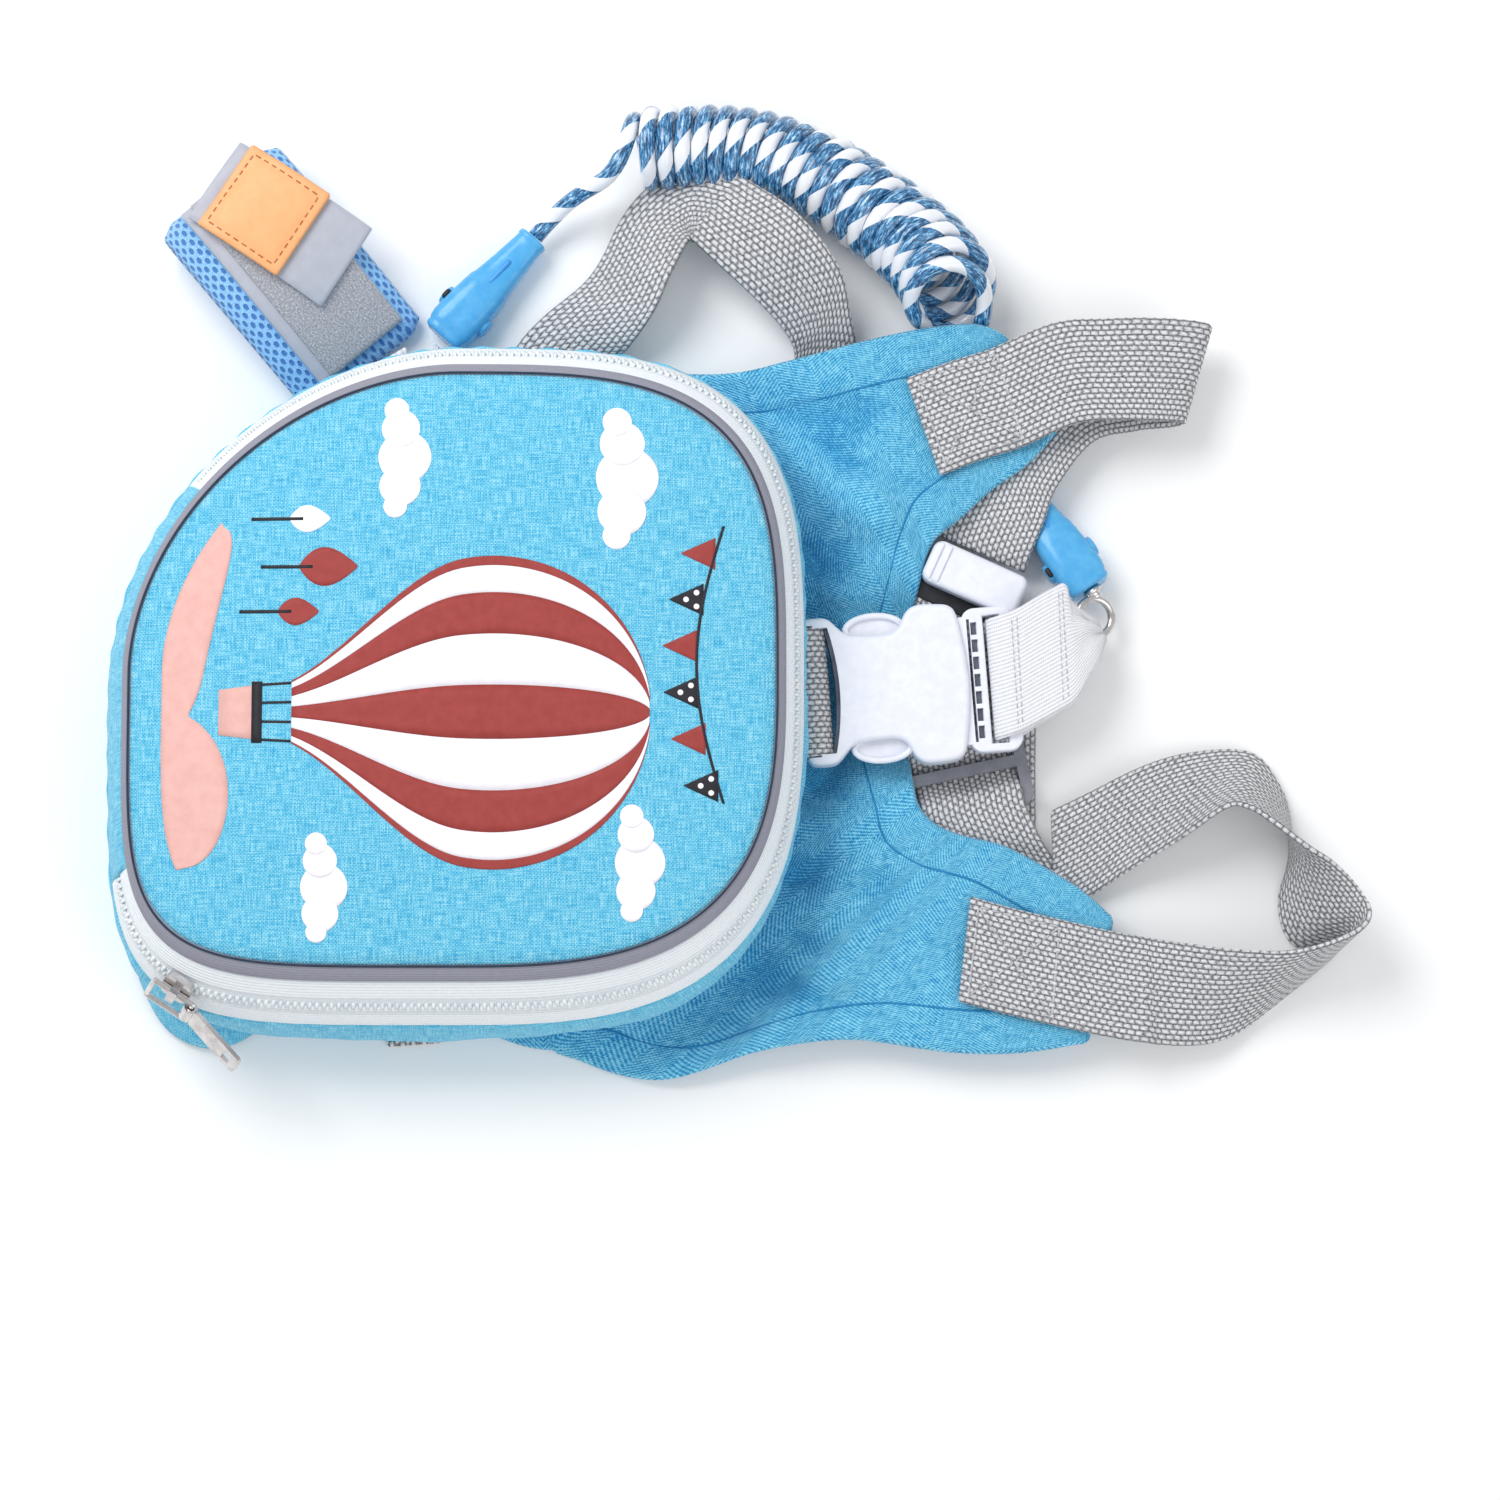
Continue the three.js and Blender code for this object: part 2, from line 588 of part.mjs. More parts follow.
// Chest buckle, closed, between the upper strap's end and the chest strap's end
const chestShape = roundedRect(chestBuckleLength, chestBuckleWidth, 3);
const chestBody = solid(
  new THREE.ExtrudeGeometry(chestShape, {
    depth: chestBuckleHeight,
    bevelEnabled: true,
    bevelThickness: 1,
    bevelSize: 1,
    bevelOffset: -1,
    bevelSegments: 2,
    curveSegments: 4,
  }),
);
const chestHollow = solid(
  boxAt(
    chestBuckleLength * chestHollowShare,
    chestBuckleWidth,
    chestBuckleHeight / 2,
    0,
    -chestHollowBack,
    chestBuckleHeight * 0.4,
  ),
);
const chestAt = new THREE.Matrix4()
  .makeRotationZ(-24.5 * degrees)
  .setPosition(1.501 * halfX, 0.338 * halfY, webLayer + 1);
place("chest_buckle", geometryOf(chestBody.subtract(chestHollow)), whitePlastic, chestAt);

// Side-release buckle. Along x from the outer bar to the mouth, half widths as shares of buckleWidth.
const femaleSide = [
  { along: 0.0, half: 0.425 },
  { along: 0.03, half: 0.455 },
  { along: 0.1, half: 0.465 },
  { along: 0.18, half: 0.45 },
  { along: 0.27, half: 0.36 },
  { along: 0.36, half: 0.335 },
  { along: 0.53, half: 0.33 },
  { along: 0.6, half: 0.37 },
  { along: 0.65, half: 0.46 },
  { along: 0.72, half: 0.5 },
  { along: 0.9, half: 0.49 },
  { along: 0.95, half: 0.46 },
  { along: 0.99, half: 0.3 },
  { along: 1.0, half: 0.0 },
];

function mirroredShape(rows, length, width) {
  const upper = rows.map((row) => new THREE.Vector2(row.along * length, row.half * width));
  const lower = rows
    .filter((row) => row.half > 0)
    .reverse()
    .map((row) => new THREE.Vector2(row.along * length, -row.half * width));
  return new THREE.Shape([...upper, ...lower].reverse());
}

const femaleBody = solid(
  new THREE.ExtrudeGeometry(mirroredShape(femaleSide, buckleLength, buckleWidth), {
    depth: buckleThickness - 2 * bodyBevel,
    bevelEnabled: true,
    bevelThickness: bodyBevel,
    bevelSize: bodyBevel,
    bevelOffset: -bodyBevel,
    bevelSegments: 2,
  }).translate(0, 0, -buckleThickness / 2 + bodyBevel),
);
const cavityStart = 0.24 * buckleLength;
const cavityHeight = buckleThickness - 2 * buckleWall;
const cavityWidth = 0.82 * buckleWidth;
const cavity = solid(
  boxAt(buckleLength, cavityWidth, cavityHeight, cavityStart + buckleLength / 2, 0, 0),
);
const barSlot = solid(
  boxAt(slotWidth, leashWebWidth + 1, buckleThickness * 2, barWidth + slotWidth / 2, 0, 0),
);
const barThinning = [1, -1].map((side) =>
  solid(
    boxAt(
      barWidth * 2,
      leashWebWidth + 2,
      buckleThickness,
      0,
      0,
      side * (buckleThickness / 2 + barHalf),
    ),
  ),
);
const female = [cavity, barSlot, ...barThinning].reduce((body, cut) => body.subtract(cut), femaleBody);
const buckleMatrix = new THREE.Matrix4()
  .makeRotationZ(1.2 * degrees)
  .setPosition(buckleStart, -0.006 * halfY, buckleHeight);
place("buckle_female", geometryOf(female), whitePlastic, buckleMatrix);

// Male half: two sprung arms inside the female's hollow, whose round ends bulge out at its waist, and
// a frame with a ladder bar outside the mouth
const armHeight = cavityHeight - 2 * gap;
const armRows = [
  { along: 0.27, half: 0.37 },
  { along: 0.36, half: 0.435 },
  { along: 0.48, half: 0.46 },
  { along: 0.6, half: 0.4 },
  { along: 0.7, half: 0.36 },
  { along: 1.0, half: 0.36 },
];
const maleX = buckleLength + gap;
let male = solid(
  boxAt(
    plugLength + plugOverlap,
    cavityWidth - 2 * gap,
    armHeight,
    maleX + (plugOverlap - plugLength) / 2,
    0,
    0,
  ),
);
for (const side of [1, -1]) {
  const outer = armRows.map(
    (row) => new THREE.Vector2(row.along * buckleLength, side * row.half * buckleWidth),
  );
  const inner = armRows
    .map(
      (row) => new THREE.Vector2(row.along * buckleLength, side * (row.half * buckleWidth - armWidth)),
    )
    .reverse();
  const ring = [...outer, ...inner];
  const shape = new THREE.Shape(side > 0 ? ring.reverse() : ring);
  const arm = new THREE.ExtrudeGeometry(shape, { depth: armHeight, bevelEnabled: false });
  male = male.add(solid(arm.translate(0, 0, -armHeight / 2)));
}
const frameWidth = 0.9 * buckleWidth;
const frameShape = roundedRect(maleFrameLength, frameWidth, 4);
const frameMiddle = maleX + maleFrameLength / 2;
const rightBar = maleX + maleFrameLength - barWidth;
const ladderBar = rightBar - slotWidth - ladderWidth;
const frameOptions = { depth: frameThickness, bevelEnabled: false, curveSegments: 4 };
const frame = solid(
  new THREE.ExtrudeGeometry(frameShape, frameOptions).translate(frameMiddle, 0, -frameThickness / 2),
);
const webSlot = solid(
  boxAt(slotWidth, leashWebWidth + 1, buckleThickness, rightBar - slotWidth / 2, 0, 0),
);
const ladderSlot = solid(
  boxAt(ladderWidth, leashWebWidth, buckleThickness, ladderBar - ladderWidth / 2, 0, 0),
);
male = male.add(frame.subtract(webSlot).subtract(ladderSlot));
place("buckle_male", geometryOf(male), whitePlastic, buckleMatrix);

// Webbing wrapped round a bar: rows in the buckle's own plane, x along and z up in millimetres
function wrap(name, rows, width, finish) {
  const grid = rows.map((row) => {
    const line = [];
    for (let j = 0; j <= 3; j++) {
      const across = ((2 * j) / 3 - 1) * (width / 2) * (row.wide ?? 1);
      const skew = (row.skew ?? 0) * across;
      line.push(new THREE.Vector3(row.x + skew, across + (row.y ?? 0), row.z));
    }
    return line;
  });
  place(name, sheet(grid, webThickness), finish, buckleMatrix);
}

const barHigh = barHalf + 2 * gap + webThickness / 2; // height of webbing over a thinned bar
const haulFoot = panelThickness + 4 * gap + webThickness / 2 - buckleHeight; // where it meets the yoke
wrap(
  "haul_webbing",
  [
    { x: -1.5 * barWidth, z: haulFoot + 4 * gap },
    { x: -0.8 * barWidth, z: haulFoot + webThickness + slotWidth / 2 },
    { x: -1.5, z: -1 },
    { x: -1.1, z: barHigh - 0.5 },
    { x: 1.2, z: barHigh + 0.9 },
    { x: barWidth, z: barHigh + 0.6 },
    { x: barWidth + slotWidth * 0.5, z: barHigh - 2 },
    { x: barWidth + slotWidth * 0.5, z: 2 - barHigh },
    { x: barWidth, z: -barHigh - 0.8 },
    { x: 1.6, z: -barHigh - 2.2 },
    { x: 0, z: -barHigh - 4.2 },
    { x: -0.55 * barWidth, z: haulFoot },
  ],
  leashWebWidth,
  greyWeb,
);

const frameHigh = frameThickness / 2 + 2 * gap + webThickness / 2;
// The near side of the swivel's ring, in the buckle's own plane. The webbing goes round it and is
// closed into one loop.
const ringX = 84.6;
const ringY = 18;
const ringZ = -6.1;
const ringOff = swivelWire + 3 * gap + webThickness / 2;
const ringTurn = { x: ringX + 2.8, y: ringY + 1.7, z: ringZ, wide: 0.11, skew: -0.5 };
wrap(
  "leash_webbing",
  [
    ringTurn,
    { x: ringX + 2, y: ringY + 1, z: ringZ - ringOff - 0.2, wide: 0.14, skew: -0.4 },
    { x: ringX - 1.4, y: ringY - 0.8, z: ringZ - ringOff - 0.4, wide: 0.24, skew: -0.2 },
    { x: ringX - 6, y: ringY - 4, z: ringZ - ringOff, wide: 0.4, skew: 0.2 },
    { x: rightBar + 10, y: 5, z: -frameHigh - 1.4, wide: 0.8, skew: 0.3 },
    { x: rightBar + barWidth, y: 1, z: -frameHigh, wide: 0.96 },
    { x: rightBar, y: 0, z: -frameHigh },
    { x: rightBar - slotWidth / 2, y: 0, z: -2 },
    { x: rightBar - slotWidth / 2, y: 0, z: 2 },
    { x: rightBar, y: 0, z: frameHigh },
    { x: rightBar + barWidth, y: 1, z: frameHigh, wide: 0.98 },
    { x: rightBar + 10, y: 5, z: frameHigh - 0.6, wide: 0.94, skew: 0.3 },
    { x: ringX - 10, y: ringY - 7, z: frameHigh - 3, wide: 0.6, skew: 0.3 },
    { x: ringX - 4, y: ringY - 2, z: ringZ + ringOff + 1, wide: 0.32, skew: 0 },
    { x: ringX - 0.4, y: ringY - 0.2, z: ringZ + ringOff + 0.8, wide: 0.22, skew: -0.3 },
    { x: ringX + 2.2, y: ringY + 1.2, z: ringZ + ringOff, wide: 0.14, skew: -0.4 },
    ringTurn,
  ],
  leashWebWidth,
  whiteWeb,
);

// Leash. The routes' points are chosen by hand, in millimetres.
const coilAxis = [
  [52, 162.8, 13.4],
  [70, 164, 13.4],
  [88, 162, 13.4],
  [102, 157, 13.4],
  [115.3, 149, 13.4],
  [133.2, 135.2, 13.4],
  [143.5, 122.5, 13.4],
  [147, 113.5, 13.4],
];
const wristLeadRoute = [
  [20.6, 137.6, 7],
  [24.5, 142, 8],
  [33, 151.5, 10.5],
  [41, 160, 13],
  [46, 163.2, 14],
  [51.6, 164.2, 14],
];
const packLeadRoute = [
  [147.4, 112.4, 11],
  [149.4, 106.5, 7.6],
  [151.6, 99, 4.4],
  [153.8, 90, 3.2],
  [155.8, 81, 3.2],
  [158.4, 71.9, 4],
];
const packTip = new THREE.Vector3(163.7, 64.1, 5.3);
const packWay = new THREE.Vector3(25, -36.6, 5).normalize(); // from the tip towards the base
const wristTip = new THREE.Vector3(20.4, 137.4, 7);
const wristWay = new THREE.Vector3(-26.2, -29.1, 0).normalize();

function tubeAlong(route, diameter, sides, steps) {
  const curve = new THREE.CatmullRomCurve3(route.map((p) => new THREE.Vector3(...p)));
  const section = new THREE.Shape();
  for (let k = 0; k < sides; k++) {
    const a = (2 * Math.PI * k) / sides;
    section[k ? "lineTo" : "moveTo"]((Math.cos(a) * diameter) / 2, (Math.sin(a) * diameter) / 2);
  }
  return new THREE.ExtrudeGeometry(section, { steps, bevelEnabled: false, extrudePath: curve });
}

// The connector tapers from a broad base to its cord end. along is a share of its length and radius a
// share of half its width.
const connectorProfile = [
  { along: 0, radius: 0 },
  { along: 0, radius: 0.8 },
  { along: 0.03, radius: 0.9 },
  { along: 0.12, radius: 1 },
  { along: 0.42, radius: 0.94 },
  { along: 0.6, radius: 0.8 },
];

// way points from the cord end to the base
function connector(name, tip, way) {
  const length = connectorLength;
  const base = tip.clone().addScaledVector(way, gap + length);
  const profile = connectorProfile.map(
    (row) => new THREE.Vector2((row.radius * connectorWidth) / 2, row.along * length),
  );
  profile.push(new THREE.Vector2(connectorTip / 2, length), new THREE.Vector2(0, length));
  let body = solid(new THREE.LatheGeometry(profile, 16).scale(1, 1, connectorFlat));
  for (const side of [1, -1]) {
    const boss = new THREE.CylinderGeometry(bossRadius, bossRadius + 0.4, bossLength, 10);
    boss.rotateZ((-side * Math.PI) / 2);
    boss.translate((side * (connectorWidth + 1)) / 2, bossPlace * length, 0);
    body = body.add(solid(boss));
  }
  const along = way.clone().negate();
  const across = along.clone().cross(up).normalize();
  const matrix = new THREE.Matrix4()
    .makeBasis(across, along, across.clone().cross(along))
    .setPosition(base);
  place(name, geometryOf(body), bluePlastic, matrix);
}

place("leash_coil", tubeAlong(coilAxis, coilDiameter, 16, 14), cordBlue);
place("leash_lead_wrist", tubeAlong(wristLeadRoute, cordDiameter, 8, 5), cordBlue);
const packLead = [...packLeadRoute, packTip.toArray()];
place("leash_lead_pack", tubeAlong(packLead, cordDiameter, 8, 6), cordBlue);
connector("connector_pack", packTip, packWay);
connector("connector_wrist", wristTip, wristWay);

// Swivel: a stem out of the connector's base and the ring that the white webbing runs through
const stemFrom = packTip.clone().addScaledVector(packWay, connectorLength + 2 * gap);
const stem = new THREE.CylinderGeometry(swivelStem, swivelStem, stemLength, 12);
stem.translate(0, stemLength / 2, 0);
const ring = new THREE.TorusGeometry(swivelRing, swivelWire, 6, 16);
ring.translate(0, stemLength + swivelRing, 0);
const stemSide = new THREE.Vector3().crossVectors(packWay, up).normalize();
const stemMatrix = new THREE.Matrix4()
  .makeBasis(stemSide, packWay, new THREE.Vector3().crossVectors(stemSide, packWay))
  .setPosition(stemFrom);
place("leash_swivel", geometryOf(solid(stem).add(solid(ring))), nickel, stemMatrix);

// Cuff: a padded band folded flat, open at both sides, with its lower end sewn shut
const cuffFold = new THREE.Vector3(-68.5, 151, 0);
const cuffWay = new THREE.Vector3(0.52, -0.854, 0).normalize();
const cuffAcross = new THREE.Vector3(-cuffWay.y, cuffWay.x, 0);
const cuffMatrix = new THREE.Matrix4().makeBasis(cuffWay, up, cuffAcross.clone().negate());
cuffMatrix.setPosition(cuffFold.clone().addScaledVector(cuffAcross, cuffWidth / 2));

// Outline of the loop's section: along the band and up, as shares of its length and height
const cuffOuter = [
  { along: 0.13, high: 0 },
  { along: 0.05, high: 0.14 },
  { along: 0.0, high: 0.42 },
  { along: 0.03, high: 0.76 },
  { along: 0.12, high: 0.97 },
  { along: 0.3, high: 1 },
  { along: 0.55, high: 0.88 },
  { along: 0.8, high: 0.6 },
  { along: 0.94, high: 0.43 },
  { along: 1, high: 0.36 },
  { along: 1, high: 0.06 },
  { along: 0.93, high: 0 },
];
const cuffInner = [
  { along: 0.2, high: 0 },
  { along: 0.1, high: 0.16 },
  { along: 0.07, high: 0.4 },
  { along: 0.1, high: 0.62 },
  { along: 0.2, high: 0.72 },
  { along: 0.4, high: 0.7 },
  { along: 0.62, high: 0.5 },
  { along: 0.82, high: 0.22 },
  { along: 0.86, high: 0.08 },
  { along: 0.8, high: 0 },
];
const cuffFloor = gap;
const cuffOutline = cuffOuter.map(
  (row) => new THREE.Vector2(row.along * cuffLength, cuffFloor + row.high * cuffHeight),
);
const cuffShape = new THREE.Shape(cuffOutline.reverse());
const cuffHollowHeight = cuffHeight - cuffWall;
cuffShape.holes.push(
  new THREE.Path(
    cuffInner.map(
      (row) => new THREE.Vector2(row.along * cuffLength, cuffFloor + cuffWall + row.high * cuffHollowHeight),
    ),
  ),
);
place(
  "cuff_pad",
  new THREE.ExtrudeGeometry(cuffShape, { depth: cuffWidth, bevelEnabled: false }),
  meshBlue,
  cuffMatrix,
);

// Strips on the cuff follow the top of its outline at a stated height above it
function cuffTop(along) {
  const top = cuffOuter.slice(2, 10);
  const share = along / cuffLength;
  const k = Math.min(top.length - 2, Math.max(0, top.findIndex((row) => row.along > share) - 1));
  const t = (share - top[k].along) / (top[k + 1].along - top[k].along);
  return cuffFloor + (top[k].high + (top[k + 1].high - top[k].high) * t) * cuffHeight;
}

const cuffToWorld = new THREE.Matrix4().makeBasis(cuffWay, cuffAcross, up).setPosition(cuffFold);
const stripShares = [0.04, 0.1, 0.2, 0.3, 0.42, 0.55, 0.68, 0.8, 0.94];
const bendRoom = 0.35; // extra clearance where layers bend over the fold
const stripLift = 2 * gap + cuffStripThickness / 2 + bendRoom;
const stripGrid = stripShares.map((share) => {
  const line = [];
  for (let j = 0; j <= 2; j++)
    line.push(
      new THREE.Vector3(
        share * cuffLength,
        (j - 1) * 0.5 * cuffStripWidth,
        cuffTop(share * cuffLength) + stripLift,
      ),
    );
  return line;
});
place("cuff_loop_strip", sheet(stripGrid, cuffStripThickness), hookGrey, cuffToWorld);

// The hook tab lies skewed on the strip, with the patch sewn on it
const tabTurn = 25 * degrees;
const tabWay = new THREE.Vector2(Math.cos(tabTurn), Math.sin(tabTurn));
const tabStart = new THREE.Vector2(0.07 * cuffLength, -0.2 * cuffWidth);

function onStrip(along, across, lift) {
  const x = tabStart.x + tabWay.x * along - tabWay.y * across;
  const y = tabStart.y + tabWay.y * along + tabWay.x * across;
  return new THREE.Vector3(x, y, cuffTop(Math.max(x, 0.08 * cuffLength)) + lift);
}

function skewed(name, from, to, width, thickness, lift, finish) {
  const grid = [];
  for (let i = 0; i <= 7; i++) {
    const line = [];
    for (let j = 0; j <= 3; j++)
      line.push(onStrip(from + ((to - from) * i) / 7, (j / 3 - 0.5) * width, lift));
    grid.push(line);
  }
  place(name, sheet(grid, thickness), finish, cuffToWorld);
}

const tabLift = stripLift + cuffStripThickness / 2 + gap + hookTabThickness / 2 + bendRoom;
const patchLift = tabLift + hookTabThickness / 2 + 3 * gap + patchThickness / 2;
skewed("cuff_hook_tab", -4, hookTabLength - 4, hookTabWidth, hookTabThickness, tabLift, hookGrey);
skewed("cuff_patch", 0, patchSize, patchSize, patchThickness, patchLift, orangeLeather);

// Webbing from the cuff's sewn end round to the wrist connector's base.
// A place beside the cuff's sewn end, in shares of the webbing's width
function besideCuff(along, across) {
  const p = cuffFold.clone().addScaledVector(cuffWay, cuffLength + along * cuffWebWidth);
  p.addScaledVector(cuffAcross, across * cuffWebWidth);
  return { x: p.x / halfX, y: p.y / halfY };
}

const cuffWebRows = [
  { ...besideCuff(-0.161, 0.622), z: 0.19, turn: 31 },
  { ...besideCuff(0.044, 0.6225), z: 0.168, turn: 31 },
  { ...besideCuff(0.147, 0.648), z: 0.116, turn: 35, wide: 0.8 },
  { x: -0.153, y: 0.948, z: 0.09, turn: 80, wide: 0.55 },
  { x: -0.084, y: 0.975, z: 0.09, turn: 120, wide: 0.5 },
  { x: -0.063, y: 1.02, z: 0.1, turn: 138, wide: 0.5 },
];
place("cuff_webbing", ribbon(cuffWebRows, cuffWebWidth, webThickness, 2), whiteWeb);

// Zip slider with its link and pull. Local x runs along the chain, y down the wall and z away from it.
const sliderShare = (chainStart + chainWidth / 2) / wallRun;
const sliderPlace = wall(sliderAngle * degrees, sliderShare);
const sliderOut = wallNormal(sliderAngle * degrees, sliderShare);
const sliderDown = wall(sliderAngle * degrees, sliderShare + 0.01).sub(sliderPlace).normalize();
const sliderAlong = new THREE.Vector3().crossVectors(sliderDown, sliderOut).normalize();
const sliderMatrix = new THREE.Matrix4().makeBasis(
  sliderAlong,
  new THREE.Vector3().crossVectors(sliderOut, sliderAlong),
  sliderOut,
);
sliderMatrix.setPosition(sliderPlace);
const sliderBase = chainThickness / 2 + gap;
const crownGap = pullWire + gap;
const hingeHeight = sliderBase + sliderHeight + crownGap;
const crownSpan = crownGap + crownWall;
const sliderShape = roundedRect(sliderLength, sliderWidth, 2.4);
const sliderOptions = { depth: sliderHeight, bevelEnabled: false, curveSegments: 3 };
const sliderBody = solid(new THREE.ExtrudeGeometry(sliderShape, sliderOptions).translate(0, 0, sliderBase));
const crownBlock = solid(boxAt(crownLength, 2 * crownSpan, 2 * crownSpan, 0, 0, hingeHeight));
const crownHole = solid(
  new THREE.CylinderGeometry(crownGap, crownGap, 6, 12).rotateZ(Math.PI / 2).translate(0, 0, hingeHeight),
);
place("zip_slider", geometryOf(sliderBody.add(crownBlock).subtract(crownHole)), nickel, sliderMatrix);

function rod(from, to, radius) {
  const way = to.clone().sub(from);
  const made = new THREE.CylinderGeometry(radius, radius, way.length(), 8);
  const axis = new THREE.Vector3(0, 1, 0);
  made.applyQuaternion(new THREE.Quaternion().setFromUnitVectors(axis, way.clone().normalize()));
  made.translate(...from.clone().add(to).multiplyScalar(0.5).toArray());
  return made;
}

const linkCorners = [
  [-linkLength / 2, 0],
  [linkLength / 2, 0],
  [linkLength / 2, linkDepth],
  [-linkLength / 2, linkDepth],
].map(([x, y]) => new THREE.Vector3(x, y, hingeHeight));
let link = null;
linkCorners.forEach((corner, k) => {
  const bar = solid(rod(corner, linkCorners[(k + 1) % 4], pullWire));
  const knuckle = solid(new THREE.SphereGeometry(pullWire, 8, 6).translate(...corner.toArray()));
  link = link ? link.add(bar).add(knuckle) : bar.add(knuckle);
});
place("pull_link", geometryOf(link), nickel, sliderMatrix);

// The pull's eye goes round the link's side bar, and its plate stands off from there, away from the
// wall. Its own x runs from the eye to the plate's far end.
const eyeHoleRadius = pullWire + gap;
const eyeRadius = eyeHoleRadius + eyeWall;
const eyeWidth = linkDepth - 2 * eyeHoleRadius - 2 * gap;
const eye = solid(new THREE.CylinderGeometry(eyeRadius, eyeRadius, eyeWidth, 12));
const eyeHole = solid(new THREE.CylinderGeometry(eyeHoleRadius, eyeHoleRadius, eyeWidth + 2, 12));
const plateShape = roundedRect(tabLength, tabWidth, tabRound);
plateShape.holes.push(
  rectHole(tabHoleFrom * tabLength, tabHoleTo * tabLength, -tabHoleWidth / 2, tabHoleWidth / 2),
);
const plateGeometry = new THREE.ExtrudeGeometry(plateShape, {
  depth: tabThickness,
  bevelEnabled: false,
  curveSegments: 3,
});
plateGeometry.translate(eyeRadius + tabLength / 2 - tabThickness / 2, 0, -tabThickness / 2);
const tabMatrix = new THREE.Matrix4()
  .makeTranslation(-linkLength / 2, linkDepth / 2, hingeHeight)
  .multiply(new THREE.Matrix4().makeRotationY(tabTilt * degrees + Math.PI))
  .premultiply(sliderMatrix);
place("pull_tab", geometryOf(eye.add(solid(plateGeometry)).subtract(eyeHole)), nickel, tabMatrix);

export default part;
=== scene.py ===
import math

import bpy
import bmesh
import numpy as np
from mathutils import Matrix, Vector, noise


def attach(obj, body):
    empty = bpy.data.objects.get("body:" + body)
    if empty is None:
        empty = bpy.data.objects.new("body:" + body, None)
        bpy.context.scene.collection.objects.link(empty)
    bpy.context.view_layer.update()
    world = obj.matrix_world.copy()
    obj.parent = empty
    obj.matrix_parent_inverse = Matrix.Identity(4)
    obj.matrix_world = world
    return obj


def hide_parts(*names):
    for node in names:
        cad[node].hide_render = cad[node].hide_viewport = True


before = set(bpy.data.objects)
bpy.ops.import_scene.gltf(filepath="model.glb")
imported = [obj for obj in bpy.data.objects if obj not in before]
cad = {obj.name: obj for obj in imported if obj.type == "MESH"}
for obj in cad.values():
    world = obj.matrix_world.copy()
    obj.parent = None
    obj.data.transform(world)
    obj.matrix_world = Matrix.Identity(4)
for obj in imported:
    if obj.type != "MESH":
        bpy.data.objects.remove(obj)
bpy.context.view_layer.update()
scene = bpy.context.scene
mm = 0.001
gap = 0.3
print("frame loaded")

# Camera, light and floor

cameraSetup = {"target": (85.3, -19.1, 20), "distance": 1200, "elevation": 84, "lens": 97.92}
lightSetup = {
    "sky": 0.62,
    "key": {"place": (-420, 520, 900), "size": 700, "power": 7.4},
    "fill": {"place": (700, -500, 800), "size": 900, "power": 2.6},
    "floor": 0xffffff,
}

cameraData = bpy.data.cameras.new("camera")
cameraData.lens = cameraSetup["lens"]
cameraData.sensor_width = 36
cameraData.clip_start, cameraData.clip_end = 0.05, 20
camera = bpy.data.objects.new("camera", cameraData)
rise = math.radians(cameraSetup["elevation"])
back = Vector((0, -math.cos(rise), math.sin(rise)))
camera.location = (Vector(cameraSetup["target"]) + back * cameraSetup["distance"]) * mm
camera.rotation_euler = (-back).to_track_quat("-Z", "Y").to_euler()
scene.collection.objects.link(camera)
scene.camera = camera
scene.view_settings.view_transform = "Standard"

world = bpy.data.worlds.new("studio")
scene.world = world
world.use_nodes = True
world.node_tree.nodes["Background"].inputs["Color"].default_value = (0.97, 0.985, 1, 1)
world.node_tree.nodes["Background"].inputs["Strength"].default_value = lightSetup["sky"]
for lampName in ("key", "fill"):
    setup = lightSetup[lampName]
    lampData = bpy.data.lights.new(lampName, "AREA")
    lampData.shape = "DISK"
    lampData.size = setup["size"] * mm
    lampData.energy = setup["power"]
    lamp = bpy.data.objects.new(lampName, lampData)
    lamp.location = Vector(setup["place"]) * mm
    lamp.rotation_euler = (Vector((85, 0, 0)) * mm - lamp.location).to_track_quat("-Z", "Y").to_euler()
    scene.collection.objects.link(lamp)


# Node helpers. UVs hold millimetres of cloth, so every pattern is at its real size.


def linear(hexColour):
    out = []
    for shift in (16, 8, 0):
        c = ((hexColour >> shift) & 255) / 255
        out.append(c / 12.92 if c <= 0.04045 else ((c + 0.055) / 1.055) ** 2.4)
    return (*out, 1)


def newMaterial(name, roughness=0.8, **sockets):
    material = bpy.data.materials.new(name)
    material.use_nodes = True
    tree = material.node_tree
    shader = tree.nodes["Principled BSDF"]
    shader.inputs["Roughness"].default_value = roughness
    for key, value in sockets.items():
        shader.inputs[key.replace("_", " ")].default_value = value
    return material, tree, shader


def feed(tree, socket, value):
    if isinstance(value, (int, float)):
        socket.default_value = value
    else:
        tree.links.new(value, socket)


def calc(tree, operation, a, b=None, c=None):
    node = tree.nodes.new("ShaderNodeMath")
    node.operation = operation
    for socket, value in zip(node.inputs, (a, b, c)):
        if value is not None:
            feed(tree, socket, value)
    return node.outputs[0]


def uvOf(tree, scaleU=1.0, scaleV=1.0):
    source = tree.nodes.new("ShaderNodeUVMap")
    source.uv_map = "UVMap"
    mapping = tree.nodes.new("ShaderNodeMapping")
    mapping.inputs["Scale"].default_value = (scaleU, scaleV, 1)
    tree.links.new(source.outputs[0], mapping.inputs["Vector"])
    return mapping.outputs[0]


def uAndV(tree):
    node = tree.nodes.new("ShaderNodeSeparateXYZ")
    tree.links.new(uvOf(tree), node.inputs[0])
    return node.outputs[0], node.outputs[1]


